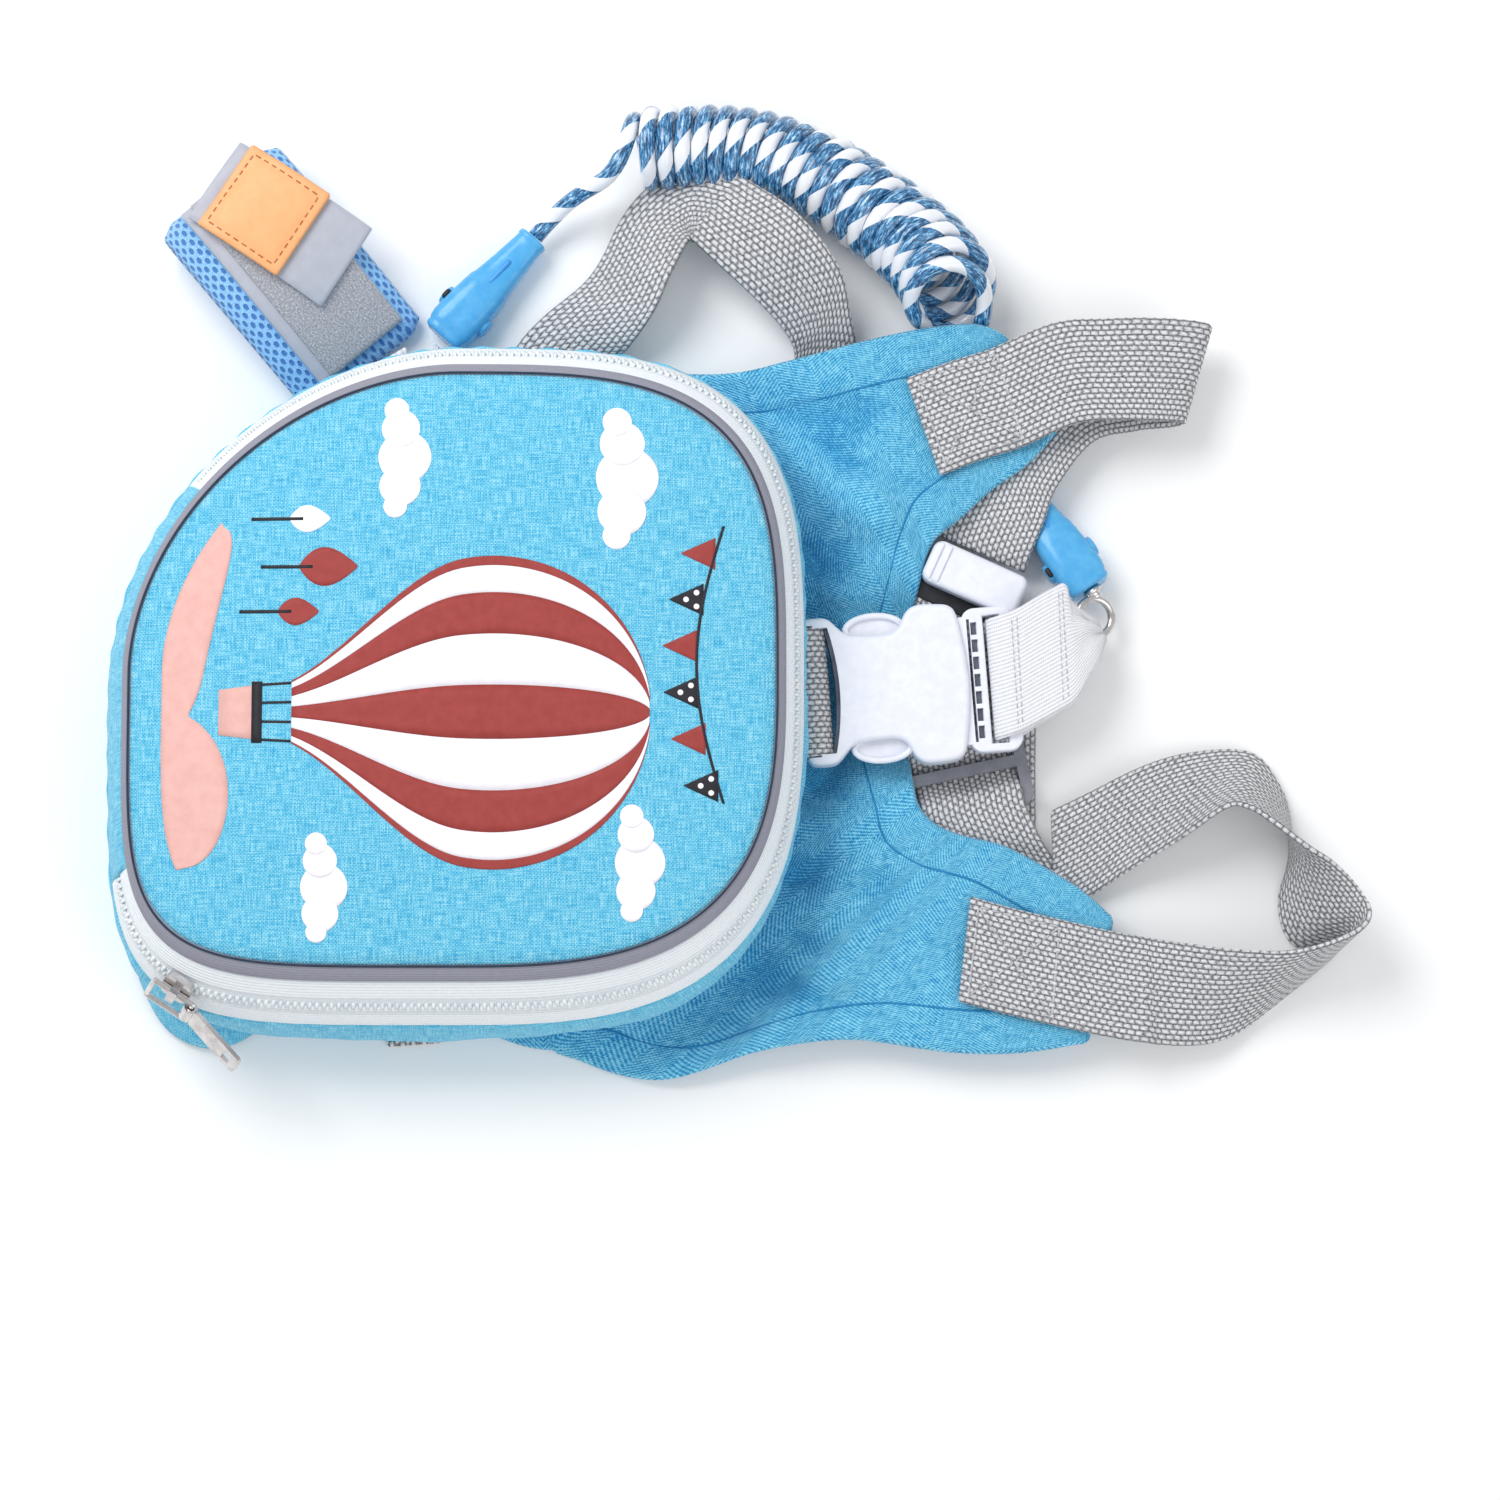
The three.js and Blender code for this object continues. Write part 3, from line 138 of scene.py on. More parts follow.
def noiseOf(tree, vector, scale=1.0, detail=2.0, rough=0.5):
    node = tree.nodes.new("ShaderNodeTexNoise")
    node.inputs["Scale"].default_value = scale
    node.inputs["Detail"].default_value = detail
    node.inputs["Roughness"].default_value = rough
    tree.links.new(vector, node.inputs["Vector"])
    return node.outputs[0]


def rampOf(tree, fac, stops):
    node = tree.nodes.new("ShaderNodeValToRGB")
    while len(node.color_ramp.elements) < len(stops):
        node.color_ramp.elements.new(0.5)
    for element, (place, colour) in zip(node.color_ramp.elements, stops):
        element.position = place
        element.color = linear(colour)
    tree.links.new(fac, node.inputs[0])
    return node.outputs[0]


def mixOf(tree, fac, a, b):
    node = tree.nodes.new("ShaderNodeMix")
    node.data_type = "RGBA"
    feed(tree, node.inputs[0], fac)
    tree.links.new(a, node.inputs[6])
    tree.links.new(b, node.inputs[7])
    return node.outputs[2]


def flat(tree, colour):
    node = tree.nodes.new("ShaderNodeRGB")
    node.outputs[0].default_value = linear(colour)
    return node.outputs[0]


def bumpOf(tree, shader, height, distance, strength=1.0):
    node = tree.nodes.new("ShaderNodeBump")
    node.inputs["Strength"].default_value = strength
    node.inputs["Distance"].default_value = distance * mm
    tree.links.new(height, node.inputs["Height"])
    tree.links.new(node.outputs[0], shader.inputs["Normal"])


def wave(tree, value, pitch):
    return calc(tree, "SINE", calc(tree, "MULTIPLY", value, 2 * math.pi / pitch))


# Materials


# woven cloth with uneven light and dark threads both ways
def melangeCloth(name, tones, long=0.14, short=2.9, herringbone=0.0, weave=1.1, show=0.05):
    material, tree, shader = newMaterial(name, 0.88)
    shader.inputs["Sheen Weight"].default_value = 0.2
    shader.inputs["Specular IOR Level"].default_value = 0.25
    weft = noiseOf(tree, uvOf(tree, long, short), 1, 3, 0.6)
    warp = noiseOf(tree, uvOf(tree, short, long), 1, 3, 0.6)
    u, v = uAndV(tree)
    if herringbone:
        zigzag = calc(tree, "PINGPONG", u, herringbone)
        ridge = wave(tree, calc(tree, "ADD", v, zigzag), weave)
        cross = wave(tree, calc(tree, "SUBTRACT", v, zigzag), weave * 0.7)
        fine = calc(tree, "ADD", calc(tree, "MULTIPLY", ridge, 0.8), calc(tree, "MULTIPLY", cross, 0.3))
    else:
        fine = calc(tree, "MULTIPLY", wave(tree, u, weave), wave(tree, v, weave))
    mixed = calc(tree, "MULTIPLY", calc(tree, "ADD", weft, warp), 0.5)
    tone = calc(tree, "MULTIPLY_ADD", fine, show, mixed)
    fold = tree.nodes.new("ShaderNodeAttribute")  # painted shade: darkens the cloth by how deep in a crease it lies, where the mesh tells it
    fold.attribute_name = "fold"
    tone = calc(tree, "MULTIPLY_ADD", fold.outputs["Fac"], -0.09, tone)
    stops = list(zip((0.4, 0.47, 0.53, 0.6), tones))
    tree.links.new(rampOf(tree, tone, stops), shader.inputs["Base Color"])
    bumpOf(tree, shader, calc(tree, "MULTIPLY_ADD", mixed, 1.6, fine), 0.18, 0.6)
    return material


# webbing: rows of thick yarn knots, their crowns painted near white as painted highlight and the gaps between them
# dark as painted shade
def knottedWeb(name, tones, cell=(2.3, 1.6), depth=0.5):
    material, tree, shader = newMaterial(name, 0.82)
    shader.inputs["Specular IOR Level"].default_value = 0.3
    u, v = uAndV(tree)
    column = calc(tree, "DIVIDE", v, cell[1])
    odd = calc(tree, "MODULO", calc(tree, "FLOOR", calc(tree, "ADD", column, 400)), 2)
    row = calc(tree, "MULTIPLY_ADD", odd, 0.5, calc(tree, "DIVIDE", u, cell[0]))
    row = calc(tree, "MULTIPLY_ADD", noiseOf(tree, uvOf(tree, 0.8, 0.8), 1, 1), 0.7, row)
    alongKnot = calc(tree, "ABSOLUTE", wave(tree, row, 2))
    acrossKnot = calc(tree, "ABSOLUTE", wave(tree, column, 2))
    knot = calc(tree, "MULTIPLY", calc(tree, "POWER", alongKnot, 0.45), calc(tree, "POWER", acrossKnot, 0.55))
    yarn = noiseOf(tree, uvOf(tree, 0.9, 2.2), 1, 4, 0.8)
    # painted highlight and shade: lighter on the knots' crowns, darker in the gaps
    tone = calc(tree, "MULTIPLY_ADD", knot, 0.45, calc(tree, "MULTIPLY", yarn, 0.95))
    stops = list(zip((0.46, 0.7, 0.92), tones))
    tree.links.new(rampOf(tree, tone, stops), shader.inputs["Base Color"])
    bumpOf(tree, shader, calc(tree, "MULTIPLY_ADD", yarn, 0.3, knot), depth, 0.9)
    return material


# fine webbing: ribs along it, crossed by thin picks
def ribbedWeb(name, tones, rib=1.1, cross=0.55, depth=0.25):
    material, tree, shader = newMaterial(name, 0.75)
    u, v = uAndV(tree)
    ribs = calc(tree, "ABSOLUTE", wave(tree, v, 2 * rib))
    picks = calc(tree, "ABSOLUTE", wave(tree, u, 2 * cross))
    height = calc(tree, "MULTIPLY_ADD", picks, 0.4, ribs)
    yarn = noiseOf(tree, uvOf(tree, 0.5, 1.5), 1, 2, 0.6)
    tone = calc(tree, "MULTIPLY_ADD", yarn, 0.5, calc(tree, "MULTIPLY", height, 0.5))
    tree.links.new(rampOf(tree, tone, list(zip((0.22, 0.48, 0.8), tones))), shader.inputs["Base Color"])
    bumpOf(tree, shader, height, depth, 0.8)
    return material


# plastic, leather or metal with a slight unevenness
def smoothStuff(name, tones, roughness=0.35, grain=0.05, grainScale=1.2, **sockets):
    material, tree, shader = newMaterial(name, roughness, **sockets)
    place = tree.nodes.new("ShaderNodeTexCoord").outputs["Object"]
    speck = noiseOf(tree, place, 300, 4, 0.6)
    tree.links.new(rampOf(tree, speck, list(zip((0.35, 0.65), tones))), shader.inputs["Base Color"])
    bumpOf(tree, shader, noiseOf(tree, place, 1000 * grainScale, 3, 0.6), grain, 0.5)
    return material


# clear cord over two twisted strands, one white and one blue with glitter; the glitter's palest flecks are painted
# glints
def spiralCord(name, lay=17.0, girth=15.7):
    material, tree, shader = newMaterial(name, 0.22)
    shader.inputs["Coat Weight"].default_value = 0.8
    shader.inputs["Coat Roughness"].default_value = 0.08
    u, v = uAndV(tree)
    turn = calc(tree, "FRACT", calc(tree, "ADD", calc(tree, "DIVIDE", u, lay), calc(tree, "DIVIDE", v, girth)))
    white = calc(tree, "GREATER_THAN", turn, 0.6)
    glitter = noiseOf(tree, uvOf(tree, 0.32, 1.3), 1, 3, 0.75)
    # blue glitter flecks; the palest of them are painted glints
    glitterAndGlints = [(0.4, 0x10395e), (0.48, 0x2a6ca2), (0.56, 0x5aa2d2), (0.64, 0xc8e8fa)]
    glitterAndGlints = rampOf(tree, glitter, glitterAndGlints)
    tree.links.new(mixOf(tree, white, glitterAndGlints, flat(tree, 0xf2f4fa)), shader.inputs["Base Color"])
    bumpOf(tree, shader, glitter, 0.1, 0.3)
    return material


# airy mesh: staggered oval holes, coloured darker than the threads round them
def spacerMesh(name, pitch=(3.5, 3.3)):
    material, tree, shader = newMaterial(name, 0.85)
    shader.inputs["Sheen Weight"].default_value = 0.3
    u, v = uAndV(tree)
    column = calc(tree, "DIVIDE", v, pitch[1] / 2)
    odd = calc(tree, "MODULO", calc(tree, "FLOOR", calc(tree, "ADD", column, 400.5)), 2)
    row = calc(tree, "MULTIPLY_ADD", odd, 0.5, calc(tree, "DIVIDE", u, pitch[0]))
    across = calc(tree, "SUBTRACT", calc(tree, "FRACT", calc(tree, "ADD", column, 400.5)), 0.5)
    along = calc(tree, "SUBTRACT", calc(tree, "FRACT", row), 0.5)
    wideSquare = calc(tree, "POWER", calc(tree, "MULTIPLY", along, 1.15), 2)
    tallSquare = calc(tree, "POWER", calc(tree, "MULTIPLY", across, 0.95), 2)
    far = calc(tree, "SQRT", calc(tree, "ADD", wideSquare, tallSquare))
    rim = calc(tree, "MINIMUM", calc(tree, "MAXIMUM", calc(tree, "MULTIPLY_ADD", far, 8, -2.0), 0), 1)
    yarn = noiseOf(tree, uvOf(tree, 2.4, 2.4), 1, 2, 0.6)
    threads = rampOf(tree, yarn, [(0.35, 0x6cb0ec), (0.65, 0xa6d4fa)])
    tree.links.new(mixOf(tree, rim, flat(tree, 0x3d7cc6), threads), shader.inputs["Base Color"])
    bumpOf(tree, shader, calc(tree, "MULTIPLY_ADD", yarn, 0.15, rim), 0.5, 0.9)
    return material


def fuzzyTape(name, tones):
    material, tree, shader = newMaterial(name, 0.95)
    shader.inputs["Sheen Weight"].default_value = 0.5
    fuzz = noiseOf(tree, uvOf(tree, 1.0, 1.6), 1.3, 6, 0.75)
    tree.links.new(rampOf(tree, fuzz, list(zip((0.35, 0.5, 0.66), tones))), shader.inputs["Base Color"])
    bumpOf(tree, shader, fuzz, 0.8, 0.9)
    return material


finish = {
    "frontCloth": melangeCloth(
        "front_cloth", (0x3fa9d8, 0x5fc0e4, 0x76cfec, 0xa4e2f6), long=0.19, short=3.1
    ),
    "twillCloth": melangeCloth(
        "twill_cloth", (0x2a8ac2, 0x4fb2de, 0x6ac8ec, 0x9be0f8),
        long=0.2, short=2.6, herringbone=8, weave=1.35, show=0.1,
    ),
    "trim": ribbedWeb("piping_tape", (0x7b7b89, 0x8c8c9a, 0x9a9aa8), 0.5, 0.5, 0.08),
    "zipTape": ribbedWeb("zip_tape", (0xd6e2ec, 0xe8f0f7, 0xf8fcff), 0.8, 0.7, 0.15),
    "teeth": smoothStuff("zip_teeth", (0xdfe8ec, 0xf4f8fa), 0.4),
    "greyWeb": knottedWeb("grey_webbing", (0x55555b, 0xa6a6aa, 0xececee)),
    "whiteWeb": ribbedWeb("white_webbing", (0xc9c9d1, 0xe4e4ea, 0xf8f8fc), 1.15, 0.6),
    "whitePlastic": smoothStuff("white_plastic", (0xe9ebf6, 0xf1f3fb), 0.36, 0.01, 0.4),
    "greyPlastic": smoothStuff("grey_plastic", (0x7e7f89, 0x8c8d97), 0.4, 0.02, 0.5),
    # near black for painted shade: the chest buckle's shadowed hollow and the connectors' screw holes
    "paintedShadeDark": smoothStuff("painted_shade_dark", (0x14161c, 0x1d2028), 0.5, 0.02, 0.5),
    "bluePlastic": smoothStuff(
        "blue_plastic", (0x52b2ee, 0x64bef4), 0.18, 0.01, 0.3, Transmission_Weight=0.12, IOR=1.42
    ),
    "cord": spiralCord("spiral_cord"),
    "mesh": spacerMesh("spacer_mesh"),
    "loopTape": fuzzyTape("loop_tape", (0x868994, 0xb4b6c0, 0xf6f6fa)),
    "hookTape": smoothStuff("hook_tape", (0xb2b5c1, 0xb8bbc7), 0.5, 0.03, 1.6),
    "leather": smoothStuff("orange_leather", (0xf8ae74, 0xfab47c), 0.5, 0.06, 1.1),
    "leatherThread": smoothStuff("leather_thread", (0xb06a3a, 0xc47c4a), 0.7, 0.1, 2),
    "blueThread": smoothStuff("blue_thread", (0x2f8cc0, 0x3f9ccc), 0.8, 0.1, 2),
    "greyThread": smoothStuff("grey_thread", (0xb2b2b8, 0xd2d2d8), 0.8, 0.1, 2),
    "whiteThread": smoothStuff("white_thread", (0xbcbcc6, 0xd2d2da), 0.8, 0.1, 2),
    "nickel": smoothStuff("nickel", (0xc6c1c0, 0xe4e0df), 0.22, 0.02, 0.5, Metallic=1.0),
    # painted shade inside the connectors' slits
    "slitShadeBlue": smoothStuff("painted_slit_shade", (0x3a9ae4, 0x48a6ea), 0.3, 0.01, 0.3),
    # painted seam shadow along the front panel's rim
    "seamShadow": smoothStuff("painted_seam_shadow", (0x1e2f44, 0x263a52), 0.8, 0.05, 1),
    # painted shade in the yoke's hem groove
    "grooveShadeBlue": smoothStuff("painted_groove_shade", (0x1f7cb0, 0x2c8cc0), 0.9, 0.05, 1),
    # painted shade for the buckle's slot and dents
    "paintedSlotShade": smoothStuff("painted_slot_shade", (0x4d525f, 0x646a78), 0.5, 0.02, 0.5),
    "printRed": smoothStuff("print_red", (0x9c3834, 0xa4403c), 0.7, 0.06, 1.6),
    "printWhite": smoothStuff("print_white", (0xf6f2fa, 0xfdfaff), 0.7, 0.06, 1.6),
    "printPink": smoothStuff("print_pink", (0xe6b0a8, 0xecbab2), 0.7, 0.06, 1.6),
    "printBlack": smoothStuff("print_black", (0x181820, 0x20202a), 0.65, 0.06, 1.6),
    "floor": smoothStuff("pale_floor", (lightSetup["floor"], lightSetup["floor"]), 0.9, 0.01, 0.01),
}
print("finishes mixed")


# Mesh helpers. Points are in millimetres.


def addMesh(name, points, faces, corners=None):
    mesh = bpy.data.meshes.new(name)
    mesh.from_pydata((np.asarray(points, float) * mm).tolist(), [], faces)
    layer = mesh.uv_layers.new(name="UVMap")
    if corners is None:
        pts = np.asarray(points, float)
        corners = [pts[k][:2] for face in faces for k in face]
    layer.data.foreach_set("uv", np.asarray(corners, np.float32).ravel())
    bm = bmesh.new()
    bm.from_mesh(mesh)
    bmesh.ops.recalc_face_normals(bm, faces=bm.faces)
    bm.to_mesh(mesh)
    bm.free()
    mesh.polygons.foreach_set("use_smooth", [True] * len(mesh.polygons))
    obj = bpy.data.objects.new(name, mesh)
    scene.collection.objects.link(obj)
    return obj


def dress(obj, finishName, replaced=()):
    obj.data.materials.clear()
    obj.data.materials.append(finish[finishName])
    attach(obj, "pack")
    if replaced:
        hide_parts(*replaced)
    return obj


def unit(v):
    return v / np.maximum(np.linalg.norm(v, axis=-1, keepdims=True), 1e-9)


def normalsOf(grid, wrap):
    across = np.gradient(grid, axis=0)
    if wrap:
        along = (np.roll(grid, -1, axis=1) - np.roll(grid, 1, axis=1)) / 2
    else:
        along = np.gradient(grid, axis=1)
    return unit(np.cross(along, across))


def arc(line):
    return np.concatenate([[0], np.cumsum(np.linalg.norm(np.diff(line, axis=0), axis=1))])


# a closed cloth from a grid of its middle surface [across][along], with rounded free edges
def shell(name, grid, thickness, wrap=False, planar=False, edge=0.7):
    grid = np.asarray(grid, float)
    n, m = grid.shape[:2]
    normal = normalsOf(grid, wrap)
    half = (np.ones((n, m)) * thickness / 2)[..., None]
    top, low = grid + normal * half, grid - normal * half
    first = grid[0] + unit(grid[0] - grid[1]) * half[0] * edge
    final = grid[-1] + unit(grid[-1] - grid[-2]) * half[-1] * edge
    ring = np.concatenate([top, final[None], low[::-1], first[None]])
    size = 2 * n + 2
    v = arc(grid[:, m // 2])
    u = arc(np.concatenate([grid[n // 2], grid[n // 2, :1]])) if wrap else arc(grid[n // 2])
    rim = float(np.mean(half))
    vRing = np.concatenate([v, [v[-1] + rim], v[::-1], [v[0] - rim]])
    points = ring.transpose(1, 0, 2).reshape(-1, 3)
    faces, corners = [], []

    def corner(k, j):
        if planar:
            p = ring[k % size, j % m]
            return (p[0], p[1])
        return (u[j], vRing[k] if k < size else vRing[0])

    for j in range(m if wrap else m - 1):
        a, b = j * size, ((j + 1) % m) * size
        for k in range(size):
            k2 = (k + 1) % size
            faces.append((a + k, a + k2, b + k2, b + k))
            corners += [corner(k, j), corner(k + 1, j), corner(k + 1, j + 1), corner(k, j + 1)]
    if not wrap:
        points = list(points)
        for j, inner in ((0, 1), (m - 1, m - 2)):
            out = unit(grid[:, j] - grid[:, inner]) * half[:, j] * edge
            base = len(points)
            points += list(grid[:, j] + out)
            a = j * size
            for k in range(n - 1):
                faces.append((a + k, a + k + 1, base + k + 1, base + k))
                faces.append((base + k, base + k + 1, a + 2 * n - k - 1, a + 2 * n - k))
                corners += [corner(k, j), corner(k + 1, j), corner(k + 1, j), corner(k, j)] * 2
            faces.append((a, base, a + 2 * n + 1))
            faces.append((a + 2 * n, a + 2 * n + 1, base))
            faces.append((a + n - 1, a + n, base + n - 1))
            faces.append((a + n + 1, base + n - 1, a + n))
            corners += [corner(0, j)] * 6 + [corner(n - 1, j)] * 6
    return addMesh(name, points, faces, corners)


# a smooth line of numbers or points through the rows, steps to each span
def catmull(rows, steps):
    rows = np.asarray(rows, float)
    last = len(rows) - 1
    out = []
    for k in range(last):
        a, b, c, d = (rows[min(last, max(0, k + s))] for s in (-1, 0, 1, 2))
        for step in range(steps + (k == last - 1)):
            t = step / steps
            square, cube = 2 * a - 5 * b + 4 * c - d, 3 * b - a - 3 * c + d
            out.append(0.5 * (2 * b + (c - a) * t + square * t**2 + cube * t**3))
    return np.array(out)


# where a line is at a distance, or at several, from its start
def pointAt(distance, lengths, line):
    return np.stack([np.interp(distance, lengths, line[:, k]) for k in range(line.shape[1])], axis=-1)


# the same line in equal steps
def evenly(line, count):
    line = np.asarray(line, float)
    s = arc(line)
    return pointAt(np.linspace(0, s[-1], count), s, line)


# a round rod along a line; radius may change along it
def tubeMesh(name, line, radius, sides=12, closed=False):
    line = np.asarray(line, float)
    n = len(line)
    radius = np.ones(n) * radius
    if closed:
        tangent = unit(np.roll(line, -1, axis=0) - np.roll(line, 1, axis=0))
    else:
        tangent = unit(np.gradient(line, axis=0))
    side = np.zeros_like(line)
    start = np.cross(tangent[0], (0, 0, 1))
    if np.linalg.norm(start) < 1e-3:
        start = np.cross(tangent[0], (1, 0, 0))
    side[0] = unit(start)
    for k in range(1, n):
        s = side[k - 1] - tangent[k] * np.dot(side[k - 1], tangent[k])
        side[k] = unit(s)
    other = np.cross(side, tangent)
    if closed:  # spread the leftover twist over the loop
        s = side[-1] - tangent[0] * np.dot(side[-1], tangent[0])
        twist = math.atan2(np.dot(unit(s), other[0]), np.dot(unit(s), side[0]))
        lean = -twist * np.arange(n) / n
        c, w = np.cos(lean)[:, None], np.sin(lean)[:, None]
        side, other = side * c + other * w, other * c - side * w
    angle = np.arange(sides) * 2 * math.pi / sides
    points = (
        line[:, None]
        + radius[:, None, None]
        * (np.cos(angle)[None, :, None] * side[:, None] + np.sin(angle)[None, :, None] * other[:, None])
    ).reshape(-1, 3)
    u = arc(np.concatenate([line, line[:1]])) if closed else arc(line)
    girth = 2 * math.pi * float(np.max(radius))
    faces, corners = [], []
    for i in range(n if closed else n - 1):
        a, b = i * sides, ((i + 1) % n) * sides
        for k in range(sides):
            k2 = (k + 1) % sides
            faces.append((a + k, b + k, b + k2, a + k2))
            g0, g1 = girth * k / sides, girth * (k + 1) / sides
            corners += [(u[i], g0), (u[i + 1], g0), (u[i + 1], g1), (u[i], g1)]
    if not closed:
        for base, flip in ((0, True), ((n - 1) * sides, False)):
            face = list(range(base, base + sides))
            faces.append(face[::-1] if flip else face)
            corners += [(0, 0)] * sides
    return addMesh(name, points, faces, corners)


# a rod whose ends are rounded
def ended(name, line, radius, sides=12, cap=3):
    line = np.asarray(line, float)
    t0, t1 = unit(line[0] - line[1]), unit(line[-1] - line[-2])
    turn = np.linspace(0, math.pi / 2, cap + 1)[1:]
    head = [line[0] + t0 * radius * math.sin(a) for a in turn[::-1]]
    tail = [line[-1] + t1 * radius * math.sin(a) for a in turn]
    sizes = [max(0.02, radius * math.cos(a)) for a in turn[::-1]] + [radius] * len(line)
    sizes += [max(0.02, radius * math.cos(a)) for a in turn]
    return tubeMesh(name, np.concatenate([head, line, tail]), np.array(sizes), sides)


def roundedBox(halfX, halfY, radius, steps=6):
    out = []
    for cx, cy, start in ((1, 1, 0), (-1, 1, 90), (-1, -1, 180), (1, -1, 270)):
        for k in range(steps + 1):
            a = math.radians(start + 90 * k / steps)
            out.append((cx * (halfX - radius) + radius * math.cos(a), cy * (halfY - radius) + radius * math.sin(a)))
    return out


# a flat moulded piece: outlines (the first outside, others holes) given thickness and rounded rims
def plate(name, outlines, low, high, round_=0.6, segments=3, matrix=None):
    curve = bpy.data.curves.new(name, "CURVE")
    curve.dimensions = "2D"
    curve.fill_mode = "BOTH"
    for line in outlines:
        spline = curve.splines.new("POLY")
        spline.points.add(len(line) - 1)
        for point, (x, y) in zip(spline.points, line):
            point.co = (x * mm, y * mm, 0, 1)
        spline.use_cyclic_u = True
    curve.extrude = ((high - low) / 2 - round_) * mm
    curve.bevel_depth = round_ * mm
    curve.bevel_resolution = segments
    curve.offset = -round_ * mm
    source = bpy.data.objects.new(name + "_curve", curve)
    scene.collection.objects.link(source)
    bpy.context.view_layer.update()
    mesh = bpy.data.meshes.new_from_object(source.evaluated_get(bpy.context.evaluated_depsgraph_get()))
    bpy.data.objects.remove(source)
    mesh.transform(Matrix.Translation((0, 0, (low + high) / 2 * mm)))
    if matrix is not None:
        mesh.transform(matrix)
    bm = bmesh.new()
    bm.from_mesh(mesh)
    bmesh.ops.remove_doubles(bm, verts=bm.verts, dist=1e-6)
    bmesh.ops.recalc_face_normals(bm, faces=bm.faces)
    bm.to_mesh(mesh)
    bm.free()
    return finishMesh(name, mesh)


# object from a mesh in metres: planar UVs in millimetres and smooth shading over its flats
def finishMesh(name, mesh):
    while mesh.uv_layers:
        mesh.uv_layers.remove(mesh.uv_layers[0])
    layer = mesh.uv_layers.new(name="UVMap")
    for loop in mesh.loops:
        co = mesh.vertices[loop.vertex_index].co
        layer.data[loop.index].uv = (co.x / mm + co.z / mm * 0.7, co.y / mm + co.z / mm * 0.5)
    mesh.polygons.foreach_set("use_smooth", [True] * len(mesh.polygons))
    bm = bmesh.new()
    bm.from_mesh(mesh)
    for edge in bm.edges:
        edge.smooth = edge.calc_face_angle(0) < 0.6
    bm.to_mesh(mesh)
    bm.free()
    obj = bpy.data.objects.new(name, mesh)
    obj.data.name = name
    scene.collection.objects.link(obj)
    obj.modifiers.new("even shading", "WEIGHTED_NORMAL").keep_sharp = True
    return obj


# cuts other solids out of a piece, or joins them to it, and drops them
def carve(obj, cutters, operation="DIFFERENCE"):
    bpy.context.view_layer.update()
    for cutter in cutters:
        modifier = obj.modifiers.new("carve", "BOOLEAN")
        modifier.operation = operation
        modifier.solver = "EXACT"
        modifier.object = cutter
        while obj.modifiers[0] != modifier:
            bpy.context.view_layer.objects.active = obj
            obj.modifiers.move(len(obj.modifiers) - 1, 0)
        bpy.context.view_layer.update()
        kept = obj.modifiers.get("even shading")
        if kept:
            obj.modifiers.remove(kept)
        mesh = bpy.data.meshes.new_from_object(obj.evaluated_get(bpy.context.evaluated_depsgraph_get()))
        obj.modifiers.clear()
        obj.data = mesh
        bpy.data.objects.remove(cutter)
    name = obj.name
    mesh = obj.data
    bpy.data.objects.remove(obj)
    return finishMesh(name, mesh)


def block(sizeX, sizeY, sizeZ, x, y, z, matrix=None):
    bm = bmesh.new()
    bmesh.ops.create_cube(bm, size=1)
    bmesh.ops.scale(bm, vec=(sizeX * mm, sizeY * mm, sizeZ * mm), verts=bm.verts)
    bmesh.ops.translate(bm, vec=(x * mm, y * mm, z * mm), verts=bm.verts)
    mesh = bpy.data.meshes.new("block")
    bm.to_mesh(mesh)
    bm.free()
    if matrix is not None:
        mesh.transform(matrix)
    obj = bpy.data.objects.new("block", mesh)
    scene.collection.objects.link(obj)
    return obj


# a row of stitches along points; normals point out of the cloth
class Stitching:

    def __init__(self, radius=0.28):
        self.radius = radius
        self.points, self.faces, self.corners = [], [], []

    def one(self, a, b, normal):
        a, b, normal = (np.asarray(x, float) for x in (a, b, normal))
        way = unit(b - a)
        side = unit(np.cross(normal, way))
        normal = np.cross(way, side)
        base = len(self.points)
        length = np.linalg.norm(b - a)
        for share, size, dip in ((0, 0.35, -1.2), (0.14, 1, 0), (0.86, 1, 0), (1, 0.35, -1.2)):
            at = a + way * length * share + normal * self.radius * dip
            for k in range(6):
                t = k * math.pi / 3
                self.points.append(at + self.radius * size * (math.cos(t) * side + 0.8 * math.sin(t) * normal))
        for ringNumber in range(3):
            for k in range(6):
                p, q = base + ringNumber * 6 + k, base + ringNumber * 6 + (k + 1) % 6
                self.faces.append((p, q, q + 6, p + 6))
                self.corners += [(0, k), (0, k + 1), (length, k + 1), (length, k)]
        self.faces.append([base + k for k in range(5, -1, -1)])
        self.faces.append([base + 18 + k for k in range(6)])
        self.corners += [(0, 0)] * 12

    def line(self, points, normals, stitch=2.6, space=0.8):
        points, normals = np.asarray(points, float), np.asarray(normals, float) * np.ones((len(points), 3))
        s = arc(points)
        count = max(1, int(s[-1] / (stitch + space)))
        pitch = s[-1] / count
        for k in range(count):
            d = k * pitch + space / 2
            ends = pointAt(d, s, points), pointAt(d + pitch - space, s, points)
            self.one(*ends, pointAt(d + pitch / 2, s, normals))

    def done(self, name, finishName):
        return dress(addMesh(name, self.points, self.faces, self.corners), finishName)


# smooth unevenness between -1 and 1 at a place in millimetres
def ripple(x, y, seed=0.0, scale=0.05, detail=2):
    total, size = 0.0, 1.0
    for octave in range(detail):
        total += size * noise.noise(Vector((x * scale, y * scale, seed + 7.3 * octave)))
        scale, size = scale * 2.1, size * 0.5
    return total


def smooth(t):
    t = np.clip(t, 0, 1)
    return t * t * (3 - 2 * t)


